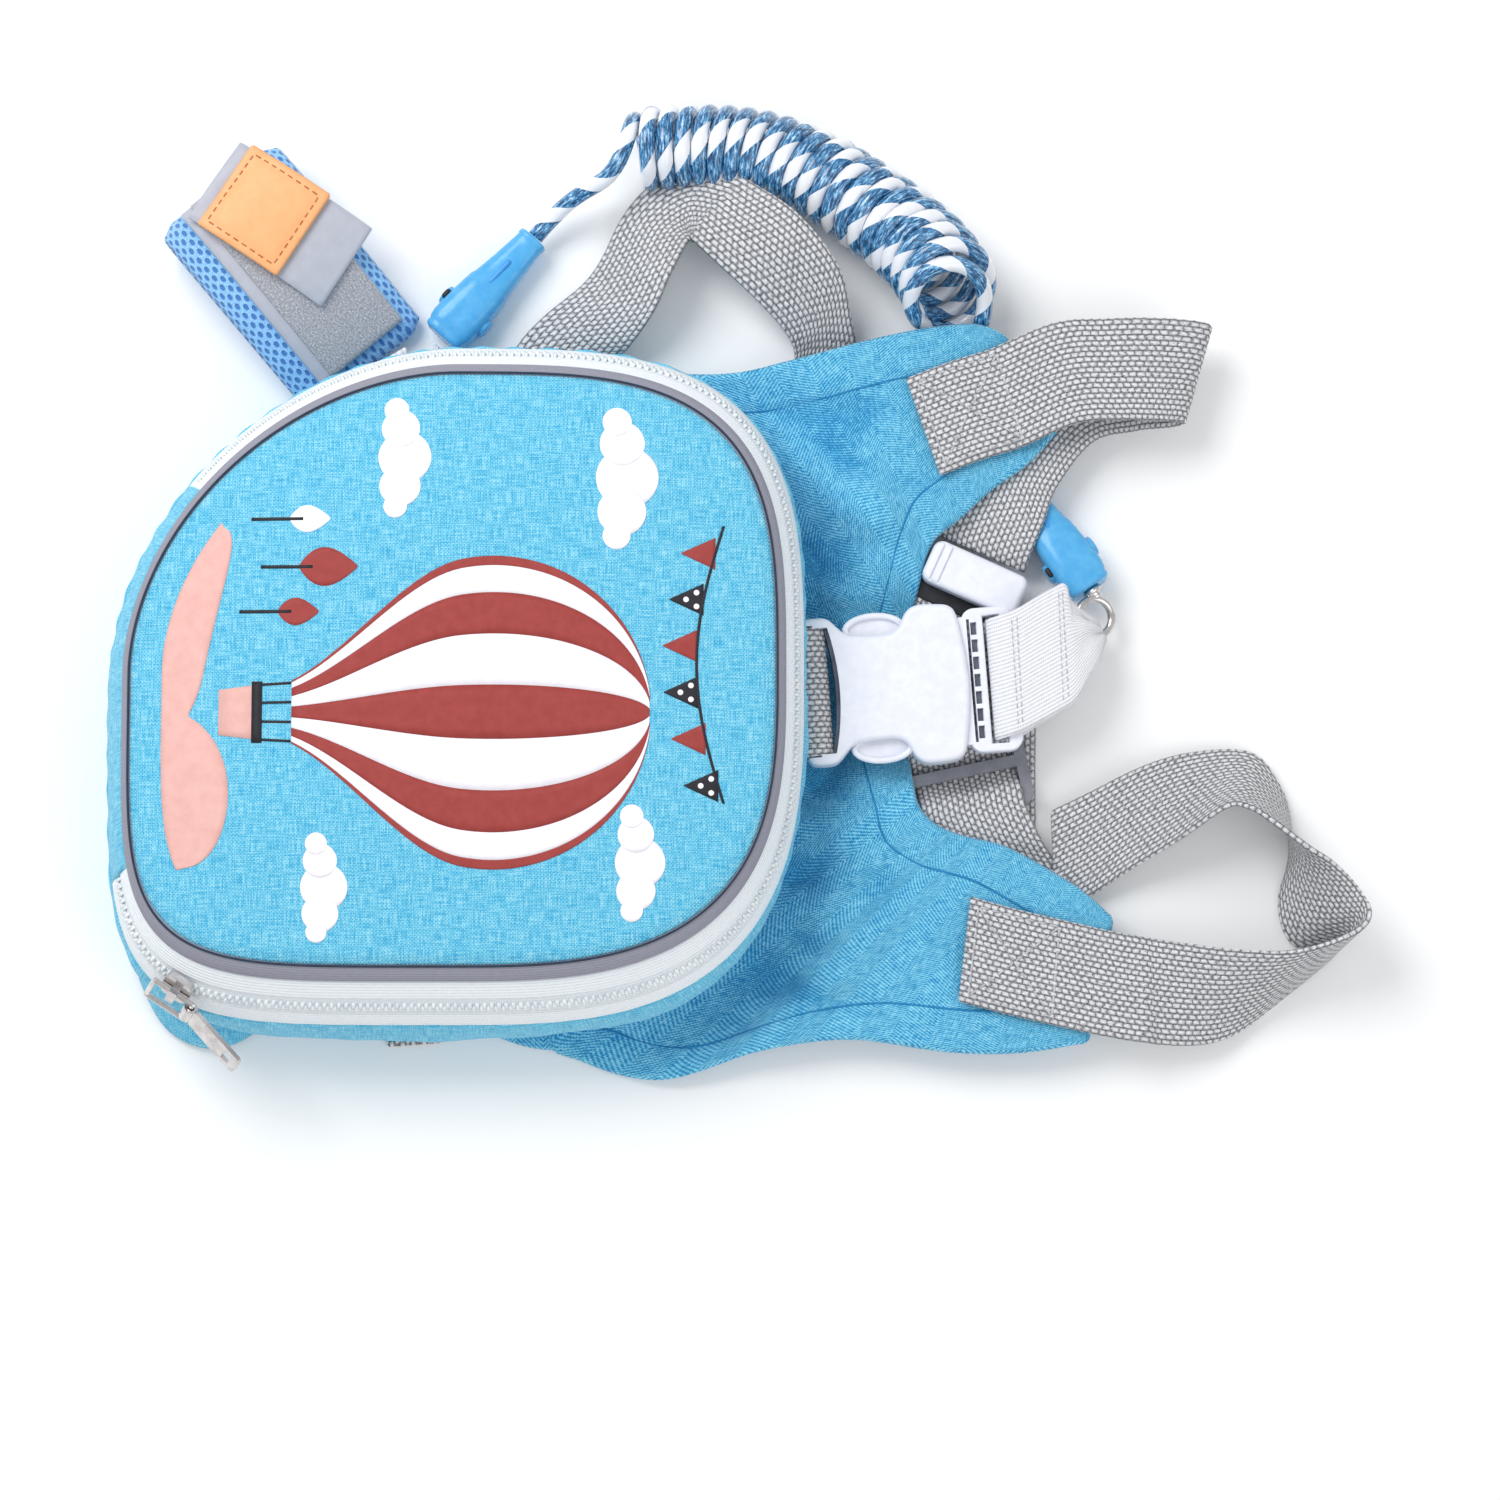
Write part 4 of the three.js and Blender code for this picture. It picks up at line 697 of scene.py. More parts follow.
floorSetup = {"half": 6000, "height": -0.15}
floorCorners = [
    (x * floorSetup["half"], y * floorSetup["half"], floorSetup["height"])
    for x, y in ((-1, -1), (1, -1), (1, 1), (-1, 1))
]
floor = addMesh("floor", floorCorners, [(0, 1, 2, 3)])
floor.data.materials.append(finish["floor"])
print("floor laid")

# Leash cord: one length from the wrist lead through the coil to the pack lead

cordSetup = {
    "diameter": 5,
    "coilRadius": 10.8,
    "turns": 21.5,
    "startTurn": 118,
    "flare": 2.8,
    "lean": (0.12, 0.7),
    "joins": {"from": 31, "spread": 8, "passes": 24},
    "points": 640,
    "wrist": [(20.6, 137.6, 7), (24.5, 141.8, 8.2), (31.5, 147.6, 12), (39.5, 151.4, 17.2), (46, 153.6, 21.2)],
    "axis": [
        (50, 162.8, 13.4), (70, 164, 13.4), (88, 162, 13.4), (102, 157, 13.4),
        (115.3, 149, 13.9), (133.2, 135.2, 15), (143, 123.5, 16.2), (146.4, 114.6, 16.6),
    ],
    "pack": [
        (149.5, 103.5, 6), (149.6, 96, 4), (152.4, 88.6, 3.2),
        (155.5, 81, 3.2), (158.4, 71.9, 4), (163.7, 64.1, 5.3),
    ],
}

axisLine = evenly(catmull(cordSetup["axis"], 12), 22 * 24)
axisWay = unit(np.gradient(axisLine, axis=0))
axisSide = unit(np.cross((0, 0, 1), axisWay))
axisUp = np.cross(axisWay, axisSide)
share = np.linspace(0, 1, len(axisLine))
turnAt = share * cordSetup["turns"]
reach = cordSetup["coilRadius"] + cordSetup["flare"] * share**2
reach += [0.25 * ripple(k * 0.9, 0, 3) for k in range(len(share))]
angle = math.radians(cordSetup["startTurn"]) - 2 * math.pi * turnAt
coilLine = axisLine + reach[:, None] * (np.cos(angle)[:, None] * axisSide + np.sin(angle)[:, None] * axisUp)
lean = cordSetup["lean"][0] + (cordSetup["lean"][1] - cordSetup["lean"][0]) * share**1.6
coilLine -= (reach * lean * np.sin(angle))[:, None] * axisWay  # the turns lean back, more towards the pack
floorHeight = cordSetup["diameter"] / 2 + 0.15
cordLine = np.concatenate([catmull(cordSetup["wrist"], 8)[:-1], coilLine, catmull(cordSetup["pack"], 6)[1:]])
for smoothing in range(3):
    cordLine[1:-1] = (cordLine[:-2] + 2 * cordLine[1:-1] + cordLine[2:]) / 4
joins = cordSetup["joins"]  # where the leads meet the coil, no bend may be tighter than the coil's own
toStart = np.arange(1, len(cordLine) - 1) - joins["from"]
toEnd = toStart[::-1]
ease = np.minimum(1, np.exp(-((toStart / joins["spread"]) ** 2)) + np.exp(-((toEnd / joins["spread"]) ** 2)))
for smoothing in range(joins["passes"]):
    middle = (cordLine[:-2] + cordLine[2:]) / 2
    cordLine[1:-1] += (middle - cordLine[1:-1]) * 0.5 * ease[:, None]
cordLine = evenly(cordLine, cordSetup["points"])
cordLine[:, 2] = np.maximum(cordLine[:, 2], floorHeight)
leashCord = tubeMesh("leash_cord", cordLine, cordSetup["diameter"] / 2, 12)
dress(leashCord, "cord", ("leash_coil", "leash_lead_wrist", "leash_lead_pack"))


# Pouch outline at its front edge, waist and foot, as in the part's source

pouch = {"halfX": 101, "halfY": 100, "depth": 56, "zipFrom": -149, "zipTo": 144, "wallRun": 50.6}
levels = np.array([
    (0.9, 0.915, 0.913, 0.866, 0.836),
    (0.52, 0.998, 1.002, 0.982, 1.016),
    (0.067857, 0.91, 0.96, 0.9, 0.97),
])
bow = {"upperRight": 3.4, "lowerRight": 3, "lowerLeft": 5, "upperLeft": 1.85}


def outline(level, angles, inset=0.0):
    height, right, left, top, bottom = levels[level]
    c, s = np.cos(angles), np.sin(angles)
    a = np.where(c > 0, right, left) * pouch["halfX"] - inset
    b = np.where(s > 0, top, bottom) * pouch["halfY"] - inset
    upper = np.where(c > 0, bow["upperRight"], bow["upperLeft"])
    lower = np.where(c > 0, bow["lowerRight"], bow["lowerLeft"])
    n = np.where(s > 0, upper, lower)
    r = (np.abs(c / a) ** n + np.abs(s / b) ** n) ** (-1 / n)
    return np.stack([r * c, r * s, np.full_like(r, height * pouch["depth"])], axis=-1)


def wall(angles, run):
    share = run / pouch["wallRun"]
    weights = (2 * (share - 0.5) * (share - 1), 4 * share * (1 - share), 2 * share * (share - 0.5))
    return sum(w * outline(k, angles) for k, w in enumerate(weights))


# points and outward normals of the pouch's wall; run is measured from the front edge
def wallFrame(angles, run):
    step = 1e-3
    along = wall(angles + step, run) - wall(angles - step, run)
    down = wall(angles, run + 0.05) - wall(angles, run - 0.05)
    return wall(angles, run), unit(np.cross(down, along))


# grid of the wall between two runs; swell gives the offset outwards at (angle, run)
def wallGrid(first, final, rows, fromDeg, toDeg, count, swell=None):
    closed = toDeg - fromDeg >= 360
    angles = np.radians(np.linspace(fromDeg, toDeg, count, endpoint=not closed))
    lines = []
    for run in np.linspace(first, final, rows):
        p, out = wallFrame(angles, run)
        if swell:
            p = p + out * np.array([swell(a, run) for a in angles])[:, None]
        lines.append(p)
    return np.array(lines)


def pucker(a, run):
    share = (run - 21) / (pouch["wallRun"] - 21)
    belly = math.sin(math.pi * min(1, max(0, share)))
    seamPull = 0.35 * math.sin(a * 64 + 3 * ripple(a * 20, 0, 1)) * (1 - share) ** 3
    return belly * (0.6 + 1.5 * ripple(a * 60, run * 0.9, 5, 0.045)) + seamPull


gusset = shell("pouch_gusset_cloth", wallGrid(21, 50.4, 26, 0, 360, 540, pucker), 1.5, wrap=True)
dress(gusset, "frontCloth", ("pouch_gusset",))
sideWallCloth = shell(
    "pouch_side_wall_cloth",
    wallGrid(4.4, 20.8, 12, 144.2, 210.8, 90, lambda a, run: 0.7 * ripple(a * 60, run, 9, 0.06)),
    1.5,
)
dress(sideWallCloth, "frontCloth", ("pouch_side_wall",))
pipingGrid = wallGrid(0.4, 3.7, 9, 0, 360, 420, lambda a, run: 0.5 * math.sin(math.pi * run / 4))
dress(shell("pouch_piping_trim", pipingGrid, 2.0, wrap=True, edge=1.0), "trim", ("pouch_piping",))

zipSetup = {"tape": 5.4, "pitch": 2.1, "toothRadius": 0.62, "rows": (11.4, 13.5)}
zipAngles = (pouch["zipFrom"], pouch["zipTo"])
for tapeName, start in (("zip_tape_front", 4.3), ("zip_tape_back", 15.1)):
    tape = shell(tapeName + "_cloth", wallGrid(start, start + zipSetup["tape"], 7, *zipAngles, 360), 1.1)
    dress(tape, "zipTape", (tapeName,))
bedGrid = wallGrid(10.0, 15.0, 7, *zipAngles, 360, lambda a, run: -0.4)
dress(shell("zip_bed", bedGrid, 0.9), "zipTape", ("zip_chain",))
teeth = Stitching(zipSetup["toothRadius"])
lineAngles = np.radians(np.linspace(*zipAngles, 1600))
middleRun = sum(zipSetup["rows"]) / 2
middleLine, middleOut = wallFrame(lineAngles, middleRun)
zipLength = arc(middleLine)
for row, run in enumerate(zipSetup["rows"]):
    edgeLine = wallFrame(lineAngles, run)[0]
    for k in range(int(zipLength[-1] / zipSetup["pitch"]) - 1):
        d = (k + 0.5 + 0.5 * row) * zipSetup["pitch"]
        near, far, out = (pointAt(d, zipLength, line) for line in (middleLine, edgeLine, middleOut))
        inward = unit(near - far)
        teeth.one(far - inward * 0.5 + out * 0.55, near + inward * 0.45 + out * 0.55, out)
teeth.done("zip_teeth", "teeth")
print("pouch wall and zip")

frontSetup = {"inset": 0.2, "edge": 50.9, "crown": 5, "thickness": 2.2}


# height of the front panel's outer face
def frontTop(x, y):
    angle = np.arctan2(y, x)
    rim = outline(0, angle, frontSetup["inset"])
    share = np.hypot(x, y) / np.maximum(np.hypot(rim[..., 0], rim[..., 1]), 1e-6)
    dome = frontSetup["crown"] * (1 - np.clip(share, 0, 1) ** 2.6)
    quiet = smooth(share * 3) * smooth((1 - share) * 9)
    soft = np.array([ripple(a, b, 2, 0.035) for a, b in zip(np.ravel(x), np.ravel(y))]).reshape(np.shape(x))
    roll = 0.8 * smooth((share - 0.965) / 0.035)
    return frontSetup["edge"] + dome + frontSetup["thickness"] / 2 + 0.3 * soft * quiet - roll


frontAngles = np.linspace(0, 2 * math.pi, 360, endpoint=False)
rim = outline(0, frontAngles, frontSetup["inset"])
rings = []
for share in np.concatenate([[0.0008], np.linspace(0.03, 0.9, 30), np.linspace(0.915, 1, 9)]):
    ring = rim * share
    ring[:, 2] = frontTop(ring[:, 0], ring[:, 1]) - frontSetup["thickness"] / 2
    rings.append(ring)
frontPanel = shell("pouch_front_cloth", np.array(rings), frontSetup["thickness"], wrap=True, planar=True)
dress(frontPanel, "frontCloth", ("pouch_front",))
# painted shadow: a dark rod along the line where the front panel meets the piping
rimShadowLine = outline(0, frontAngles, -0.8)
rimShadowLine[:, 2] = frontSetup["edge"] + 0.5
dress(tubeMesh("front_rim_seam_shadow", rimShadowLine, 0.34, 8, closed=True), "seamShadow")
print("front panel")

# Back panel, corner cloth and yoke


def edgeY(x, top):
    height, right, left, upper, lower = levels[2]
    a = (right if x > 0 else left) * pouch["halfX"]
    b = (upper if top else lower) * pouch["halfY"]
    n = bow[("upper" if top else "lower") + ("Right" if x > 0 else "Left")]
    return b * max(0.0, 1 - abs(x / a) ** n) ** (1 / n)


backX = np.concatenate([[-96.85, -96.4, -95.5, -94], np.linspace(-92, 24.6, 60)])
backGrid = [[(x, (v - 1) * edgeY(x, False) + v * edgeY(x, True), 1.2) for x in backX] for v in np.linspace(0, 1, 30)]
dress(shell("back_panel_cloth", backGrid, 2.3, planar=True), "twillCloth", ("back_panel",))

cornerRows = [
    (-99.5, -70, 3.5), (-95, -86, 4), (-87.4, -99.6, 4.5), (-77.5, -105.2, 4), (-68.4, -104.6, 3), (-60.5, -100.3, 2),
]
cornerOuter = catmull(cornerRows, 6)
cornerInner = outline(2, np.radians(np.linspace(-146.2, -121, len(cornerOuter))), -0.4)
cornerGrid = []
for v in np.linspace(0, 1, 12):
    line = cornerInner * (1 - v) + cornerOuter * v
    swell = 6 * math.sin(math.pi * min(1, v * 0.8 + 0.15)) * np.sin(np.linspace(0.1, math.pi - 0.1, len(line)))
    line[:, 2] = 1.3 + swell * (1 + 0.3 * np.array([ripple(p[0], p[1], 4, 0.08) for p in line]))
    cornerGrid.append(line)
dress(shell("corner_cloth", cornerGrid, 1.8), "frontCloth", ("corner_tab",))

# the yoke's hem where it runs on beside the pouch's foot
footX = np.linspace(-4, 27, 24)
footHem = []
for v in np.linspace(0, 1, 6):
    footHem.append([(x, -edgeY(x, False) - 0.5 - v * (0.6 + 8.6 * smooth((x + 6) / 34)), 1.4) for x in footX])
dress(shell("yoke_foot_hem", footHem, 1.9, planar=True), "twillCloth")

yokeSetup = {
    "thickness": 1.9,
    "lowest": 1.75,  # of the cloth's middle
    "hem": 12.5,
    "hemExtra": 1.2,
    "stitchRow": 9.6,
    "wrinkle": 5.5,
    "liftUpper": 13,
    "liftLower": 11,
    "columns": 84,
    "sections": 230,
}
# each row: the neck side's x and y, then the outer side's, from the upper wing's end to the lower wing's
yokeRows = [
    (176.14, 77.4, 161.6, 105.3),
    (167.66, 68, 155.54, 108),
    (157.06, 60.3, 147.97, 108.5),
    (147.97, 52, 131.3, 106),
    (139.18, 44.3, 115.14, 102.2),
    (135.3, 32, 96.96, 97.5),
    (132, 16, 79.29, 95.1),
    (130.8, 8, 52.02, 97),
    (130.5, 1, 27.78, 100.5),
    (130.7, -6, 25.3, 50),
    (131.1, -12, 25.3, -2),
    (131.7, -20, 25.3, -55),
    (132.9, -28, 25.3, -100),
    (134.5, -35.3, 36, -109.2),
    (139.5, -41, 60, -114.8),
    (147.97, -44.5, 88.38, -106.6),
    (159.58, -47.5, 114.94, -103.1),
    (172, -54, 144.43, -106.7),
    (183.01, -61, 165.03, -106.8),
    (191.6, -68.5, 184.02, -103.9),
]


def yokeHeight(x, y):
    angle = math.atan2(y, x)
    foot = outline(2, np.array([angle]))[0]
    beyond = float(smooth((math.hypot(x, y) / math.hypot(foot[0], foot[1]) - 1.03) / 0.34))
    lift = yokeSetup["liftUpper"] if y > 0 else yokeSetup["liftLower"]
    sideways = float(smooth((abs(y) / 100 - 0.05) / (0.5 if y > 0 else 0.35)))
    outward = float(smooth((x / 101 - 0.3) / 0.6))
    return 1.2 + lift * beyond * sideways * outward


yokeEdges = evenly(catmull(yokeRows, 12), yokeSetup["sections"])
yokeColumns = yokeSetup["columns"]
yokeGrid = np.zeros((yokeColumns, len(yokeEdges), 3))
for j, (nx, ny, ox, oy) in enumerate(yokeEdges):
    for k in range(yokeColumns):
        v = k / (yokeColumns - 1)
        x, y = nx + (ox - nx) * v, ny + (oy - ny) * v
        yokeGrid[k, j] = (x, y, yokeHeight(x, y))
fromNeck = np.array([arc(yokeGrid[:, j]) for j in range(len(yokeEdges))]).T
fromOuter = fromNeck[-1] - fromNeck
alongYoke = np.array([arc(yokeGrid[k]) for k in range(yokeColumns)])
fromEnd = np.minimum(alongYoke, alongYoke[:, -1:] - alongYoke)
edgeDistance = np.minimum(np.minimum(fromNeck, fromOuter), fromEnd)
creaseShade = np.zeros(edgeDistance.shape)
for k in range(yokeColumns):
    for j in range(len(yokeEdges)):
        x, y, z = yokeGrid[k, j]
        free = float(smooth((edgeDistance[k, j] - 4) / 22))
        crease = ripple(x * 0.6 + y * 0.8, y * 0.6 - x * 0.35, 11, 0.05, 2)
        crease *= 1 - 0.8 * float(smooth((abs(y) - 50) / 20) * smooth((x - 115) / 15))  # flat under the straps
        hemWave = 0.5 * ripple(x, y, 17, 0.09, 1)
        beyond = float(smooth((x - 60) / 40))
        # painted shade: how deep each point lies in a crease, kept so the cloth's colour darkens there
        creaseShade[k, j] = min(1.0, max(0.0, -2.4 * crease)) * free * beyond
        wrinkled = z + (yokeSetup["wrinkle"] * crease * free + hemWave) * beyond
        yokeGrid[k, j, 2] = max(yokeSetup["lowest"], wrinkled)
hem = 1 - smooth((edgeDistance - yokeSetup["hem"]) / 1.2)
yokeThickness = yokeSetup["thickness"] + yokeSetup["hemExtra"] * hem
yokeThickness -= 1.0 * np.exp(-((edgeDistance - yokeSetup["hem"]) / 1.0) ** 2)
yoke = shell("shoulder_yoke_cloth", yokeGrid, yokeThickness)
creaseShadeRing = np.concatenate([creaseShade, creaseShade[-1:], creaseShade[::-1], creaseShade[:1]]).T.ravel()
creaseShadeRing = np.concatenate([creaseShadeRing, np.zeros(len(yoke.data.vertices) - len(creaseShadeRing))])
# the fold attribute carries the painted crease shade into the cloth's colour
yoke.data.attributes.new("fold", "FLOAT", "POINT").data.foreach_set("value", creaseShadeRing.astype(np.float32))
dress(yoke, "twillCloth", ("shoulder_yoke",))
yokeNormal = normalsOf(yokeGrid, False)
yokeNormal *= np.sign(yokeNormal[..., 2:3])


# a line on the yoke at a distance from one of its long edges
def yokeLine(distance, outer, first, final):
    line, out = [], []
    for j in range(first, final):
        d = fromOuter[:, j] if outer else fromNeck[:, j]
        order = np.argsort(d)
        line.append([np.interp(distance, d[order], yokeGrid[order, j, c]) for c in range(3)])
        out.append(yokeNormal[yokeColumns // 2, j])
    line, out = np.array(line), np.array(out)
    return line + out * yokeSetup["thickness"] * 0.62, out


hemThread = Stitching(0.3)
for outer, first, final in ((False, 6, 224), (True, 6, 108), (True, 148, 224)):
    hemThread.line(*yokeLine(yokeSetup["stitchRow"], outer, first, final), stitch=2.9, space=1.0)
# painted shade: a darker blue rod sunk in the hem's groove
for number, (outer, first, final) in enumerate(((False, 5, 225), (True, 5, 106), (True, 150, 225))):
    seamLine, seamOut = yokeLine(yokeSetup["hem"] + 0.2, outer, first, final)
    seam = ended(f"yoke_hem_groove_shade_{number}", seamLine - seamOut * 0.3, 0.4, 8)
    dress(seam, "grooveShadeBlue")
hemThread.done("yoke_stitches", "blueThread")
print("yoke")

# Webbing straps. Each row is a section: middle x, y and z, heading, lean, width share, on the yoke or not

webSetup = {"width": 30, "thickness": 1.6, "columns": 15, "step": 1.6, "box": (2.2, 27), "boxMargin": 0.06}


def ribbonGrid(rows, width, thickness):
    line = catmull(rows, 14)
    line = evenly(line, max(20, int(arc(line[:, :3])[-1] / webSetup["step"])))
    flags = np.array([row[6] for row in rows])
    grid = np.zeros((webSetup["columns"], len(line), 3))
    for j, (x, y, z, turn, roll, wide, over) in enumerate(line):
        t, r = math.radians(turn), math.radians(roll)
        across = np.array((math.cos(t) * math.cos(r), math.sin(t) * math.cos(r), math.sin(r)))
        for k in range(webSetup["columns"]):
            p = np.array((x, y, z)) + across * width / 2 * wide * (2 * k / (webSetup["columns"] - 1) - 1)
            if over > 0.5 and flags.any():
                p[2] = max(p[2], yokeHeight(p[0], p[1]) + 1.2 + 2 * gap + thickness / 2 + 0.9)
            p[2] = max(p[2], thickness / 2 + 0.1)
            grid[k, j] = p
    return grid


# points at given distances along a cloth grid and shares across it, raised off its face
def onGrid(grid, along, across, lift):
    n, m = grid.shape[:2]
    s = arc(grid[n // 2])
    normal = normalsOf(grid, False)
    points, out = [], []
    for d, v in zip(along, across):
        j, k = np.interp(d, s, np.arange(m)), v * (n - 1)
        j0, k0 = min(m - 2, int(j)), min(n - 2, int(k))

        def mix(a):
            near = a[k0, j0] * (1 - j + j0) + a[k0, j0 + 1] * (j - j0)
            far = a[k0 + 1, j0] * (1 - j + j0) + a[k0 + 1, j0 + 1] * (j - j0)
            return near * (1 - k + k0) + far * (k - k0)

        o = unit(mix(normal))
        o = o if o[2] > 0 else -o
        points.append(mix(grid) + o * lift)
        out.append(o)
    return np.array(points), np.array(out)


webRows = {
    "strap_upper": [
        (137.16, 77.8, 11.2, -71, 0, 1, 1),
        (149.48, 82.6, 11.2, -74, 0, 1, 1),
        (161.8, 86.5, 17.92, -73, 0, 1, 1),
        (179.07, 93.3, 21.28, -78, 0, 1, 1),
        (193.62, 94.3, 21.56, -80, 0, 1, 1),
        (205.64, 94.5, 20.72, -90, 0, 1, 0),
        (216.14, 94.3, 18.2, -104, 0, 1, 0),
        (218.46, 93.8, 15.4, -106, 0, 1, 0),
        (215.13, 93.5, 13.16, -104, 0, 1, 0),
        (199.5, 93, 11.76, -86, 0, 1, 0),
        (180.5, 88, 11.2, -61, 0, 1, 0),
        (166, 71.5, 10.92, -46, 3, 1, 0),
        (159.28, 56.8, 11.48, -32, 8, 1, 0),
        (154.53, 46, 9.52, -25, 6, 1, 0),
        (153.32, 42, 7.84, -24, 0, 1, 0),
    ],
    "strap_lower": [
        (148.77, -77.5, 6.72, -97, 0, 1, 1),
        (161.6, -81, 6.72, -96, 0, 1, 1),
        (177.86, -84.8, 12.32, -95, 0, 1, 1),
        (194.63, -88.4, 14, -92, 0, 1, 1),
        (212.71, -90.7, 14, -88, -16, 1, 0),
        (227.65, -90.5, 14, -95, -36, 1, 0),
        (242.7, -86.1, 14.56, -112, -57, 1, 0),
        (261.6, -74, 15, -128, -74, 1, 0),
        (254.8, -68, 13.4, -142, -42, 1, 0),
        (249.6, -58, 13, -146, -58, 1, 0),
        (247.2, -49.3, 14.4, -150, -86, 1, 0),
        (241.59, -38.5, 15.68, -148, -108, 1, 0),
        (236.24, -31.5, 15.4, -138, -120, 1, 0),
        (229.27, -27.5, 14.56, -120, -133, 1, 0),
        (214.63, -31.7, 11.2, -103, -155, 1, 0),
        (199.98, -38, 8.12, -96, -174, 1, 0),
        (186.65, -45.5, 5.32, -90, -181, 1, 0),
        (175.74, -51, 4.48, -88, -180, 1, 0),
    ],
    "strap_side_loop": [
        (27.27, 98.5, 3.81, 0, 0, 1, 0),
        (30.3, 103, 4.76, -8, 6, 1, 0),
        (36.36, 109, 7.28, -20, 20, 1, 0),
        (45.96, 118.5, 10.64, -26, 36, 1, 0),
        (52.02, 129, 12.88, -22, 42, 1, 0),
        (57.8, 140.2, 11.5, -30, 25, 0.8, 0),
        (66.7, 146, 14, -84, 10, 0.78, 0),
        (74.1, 144.3, 18.5, -122, 4, 0.78, 0),
        (77.4, 142.1, 20.5, -138, -6, 0.8, 0),
        (92.92, 129, 20.16, -128, -24, 0.9, 0),
        (104.6, 115.8, 14, -128, -32, 0.9, 0),
        (107, 105, 6.6, -138, -24, 0.8, 0),
        (107, 96.5, 3.0, -150, -6, 0.8, 0),
    ],
    "strap_stub": [
        (-14.14, -97.5, 1.12, 0, 0, 1, 0),
        (-14.14, -104.5, 1.12, 4, 0, 1, 0),
    ],
    "chest_strap": [
        (164.63, -60, 1.34, 16, 0, 1, 0),
        (160.09, -53, 2.8, 14, 0, 1, 0),
        (155.54, -45.5, 6.84, 12, 0, 1, 0),
        (151.68, -36.72, 7.6, 12, 0, 1, 0),
        (150.64, -31.83, 7.6, 12, 0, 1, 0),
        (149.66, -27.23, 3, 12, 0, 1, 0),
        (148.29, -20.77, 3, 12, 0, 1, 0),
        (147.31, -16.17, 7.6, 12, 0, 1, 0),
        (146.27, -11.28, 7.6, 12, 0, 1, 0),
        (148.98, 2, 7.28, 2, 0, 1, 0),
        (148.98, 16, 6.72, -14, 0, 1, 0),
        (149.58, 27.9, 6.16, -24, 0, 1, 0),
    ],
    "chest_strap_tail": [
        (155.54, 3, 1.68, -4, 0, 1, 0),
        (155.04, -20, 1.06, 0, 0, 1, 0),
        (155.04, -42, 1.06, 5, 0, 1, 0),
    ],
}
webGrids = {}
for nodeName, rows in webRows.items():
    width = webSetup["width"] * (0.5 if nodeName == "strap_stub" else 1)
    webGrids[nodeName] = ribbonGrid(rows, width, webSetup["thickness"])
    web = shell(nodeName + "_web", webGrids[nodeName], webSetup["thickness"])
    dress(web, "greyWeb", (nodeName,))



# stitches along a path of (distance along, share across) on a cloth grid
def stitchPath(thread, grid, path, lift, stitch, space, steps):
    t = np.linspace(0, 1, steps)
    for (a, b), (c, d) in zip(path[:-1], path[1:]):
        thread.line(*onGrid(grid, a + (c - a) * t, b + (d - b) * t, lift), stitch=stitch, space=space)


boxThread = Stitching(0.32)
near, far = webSetup["box"]
low, high = webSetup["boxMargin"], 1 - webSetup["boxMargin"]
boxPaths = (
    [(near, low), (far, low), (far, high), (near, high), (near, low)],
    [(near, low), (far, high)],
    [(near, high), (far, low)],
)
for nodeName in ("strap_upper", "strap_lower"):
    for path in boxPaths:
        stitchPath(boxThread, webGrids[nodeName], path, webSetup["thickness"] / 2 + 0.22, 2.2, 0.9, 16)
boxThread.done("strap_box_stitches", "greyThread")
print("straps")

# Print on the front panel: a striped balloon over hills, drawn with its top towards +X

printSetup = {
    "lift": 0.09,
    "thickness": 0.2,
    "balloon": (12, -12),
    "radius": 45,
    "gores": 9,
    "clouds": ((50, 56, 1.0), (-14, 62, 0.85), (54, -55, 0.8), (-36, -62, 0.75)),  # place and size
    "puffs": ((0, 0, 9), (-1.5, 10, 6.5), (-1.5, -10, 7), (-3, 16.5, 4.2), (-3, -17, 4)),
    "hills": ((-34, 22.8, 19), (12, 30, 13)),  # middle, half width, height
    "leaves": ((-44, 30, 17, "printRed"), (-47, 44, 12, "printWhite"), (-50, 17, 12, "printRed")),
    "string": {"from": -38, "to": 42, "x": 78, "sag": 8},
    "flags": {"count": 6, "first": -33, "pitch": 13.4, "length": 10, "half": 4.6},
    "dots": ((-2, -2), (-2, 2), (-5, 0)),
}


# a thin printed shape between two lines, following the dome
def printShape(name, lineA, lineB, finishName, columns=8, lift=0.0):
    grid = np.array([np.asarray(lineA) * (1 - v) + np.asarray(lineB) * v for v in np.linspace(0, 1, columns)], float)
    z = frontTop(grid[..., 0], grid[..., 1]) + printSetup["lift"] + lift
    grid = np.concatenate([grid, z[..., None]], axis=-1)
    return dress(shell(name, grid, printSetup["thickness"], planar=True, edge=0.2), finishName)


# the same line moved both ways
def bothSides(x, y, moveX, moveY):
    x, y, moveX, moveY = np.broadcast_arrays(x, y, moveX, moveY)
    return np.stack([x - moveX, y - moveY], axis=1), np.stack([x + moveX, y + moveY], axis=1)


def printDisc(name, x, y, radius, finishName, lift=0.0):
    a = np.linspace(0.02, math.pi - 0.02, 24)
    return printShape(name, *bothSides(x + radius * np.cos(a), y, 0, -radius * np.sin(a)), finishName, 8, lift)


# half width at a share of the way from crown to mouth: a ball, then a taper
def balloonHalf(t):
    far, ball = 2.28 * t, 1.2
    if far < ball:
        return printSetup["radius"] * math.sqrt(2 * far - far * far)
    s = (far - ball) / (2.28 - ball)
    h0, h1, m0, m1 = 0.98, 0.2, -0.2 * 1.08, -0.5 * 1.08
    cubic = h0 * (2 * s**3 - 3 * s**2 + 1) + m0 * (s**3 - 2 * s**2 + s)
    cubic += h1 * (3 * s**2 - 2 * s**3) + m1 * (s**3 - s**2)
    return printSetup["radius"] * cubic


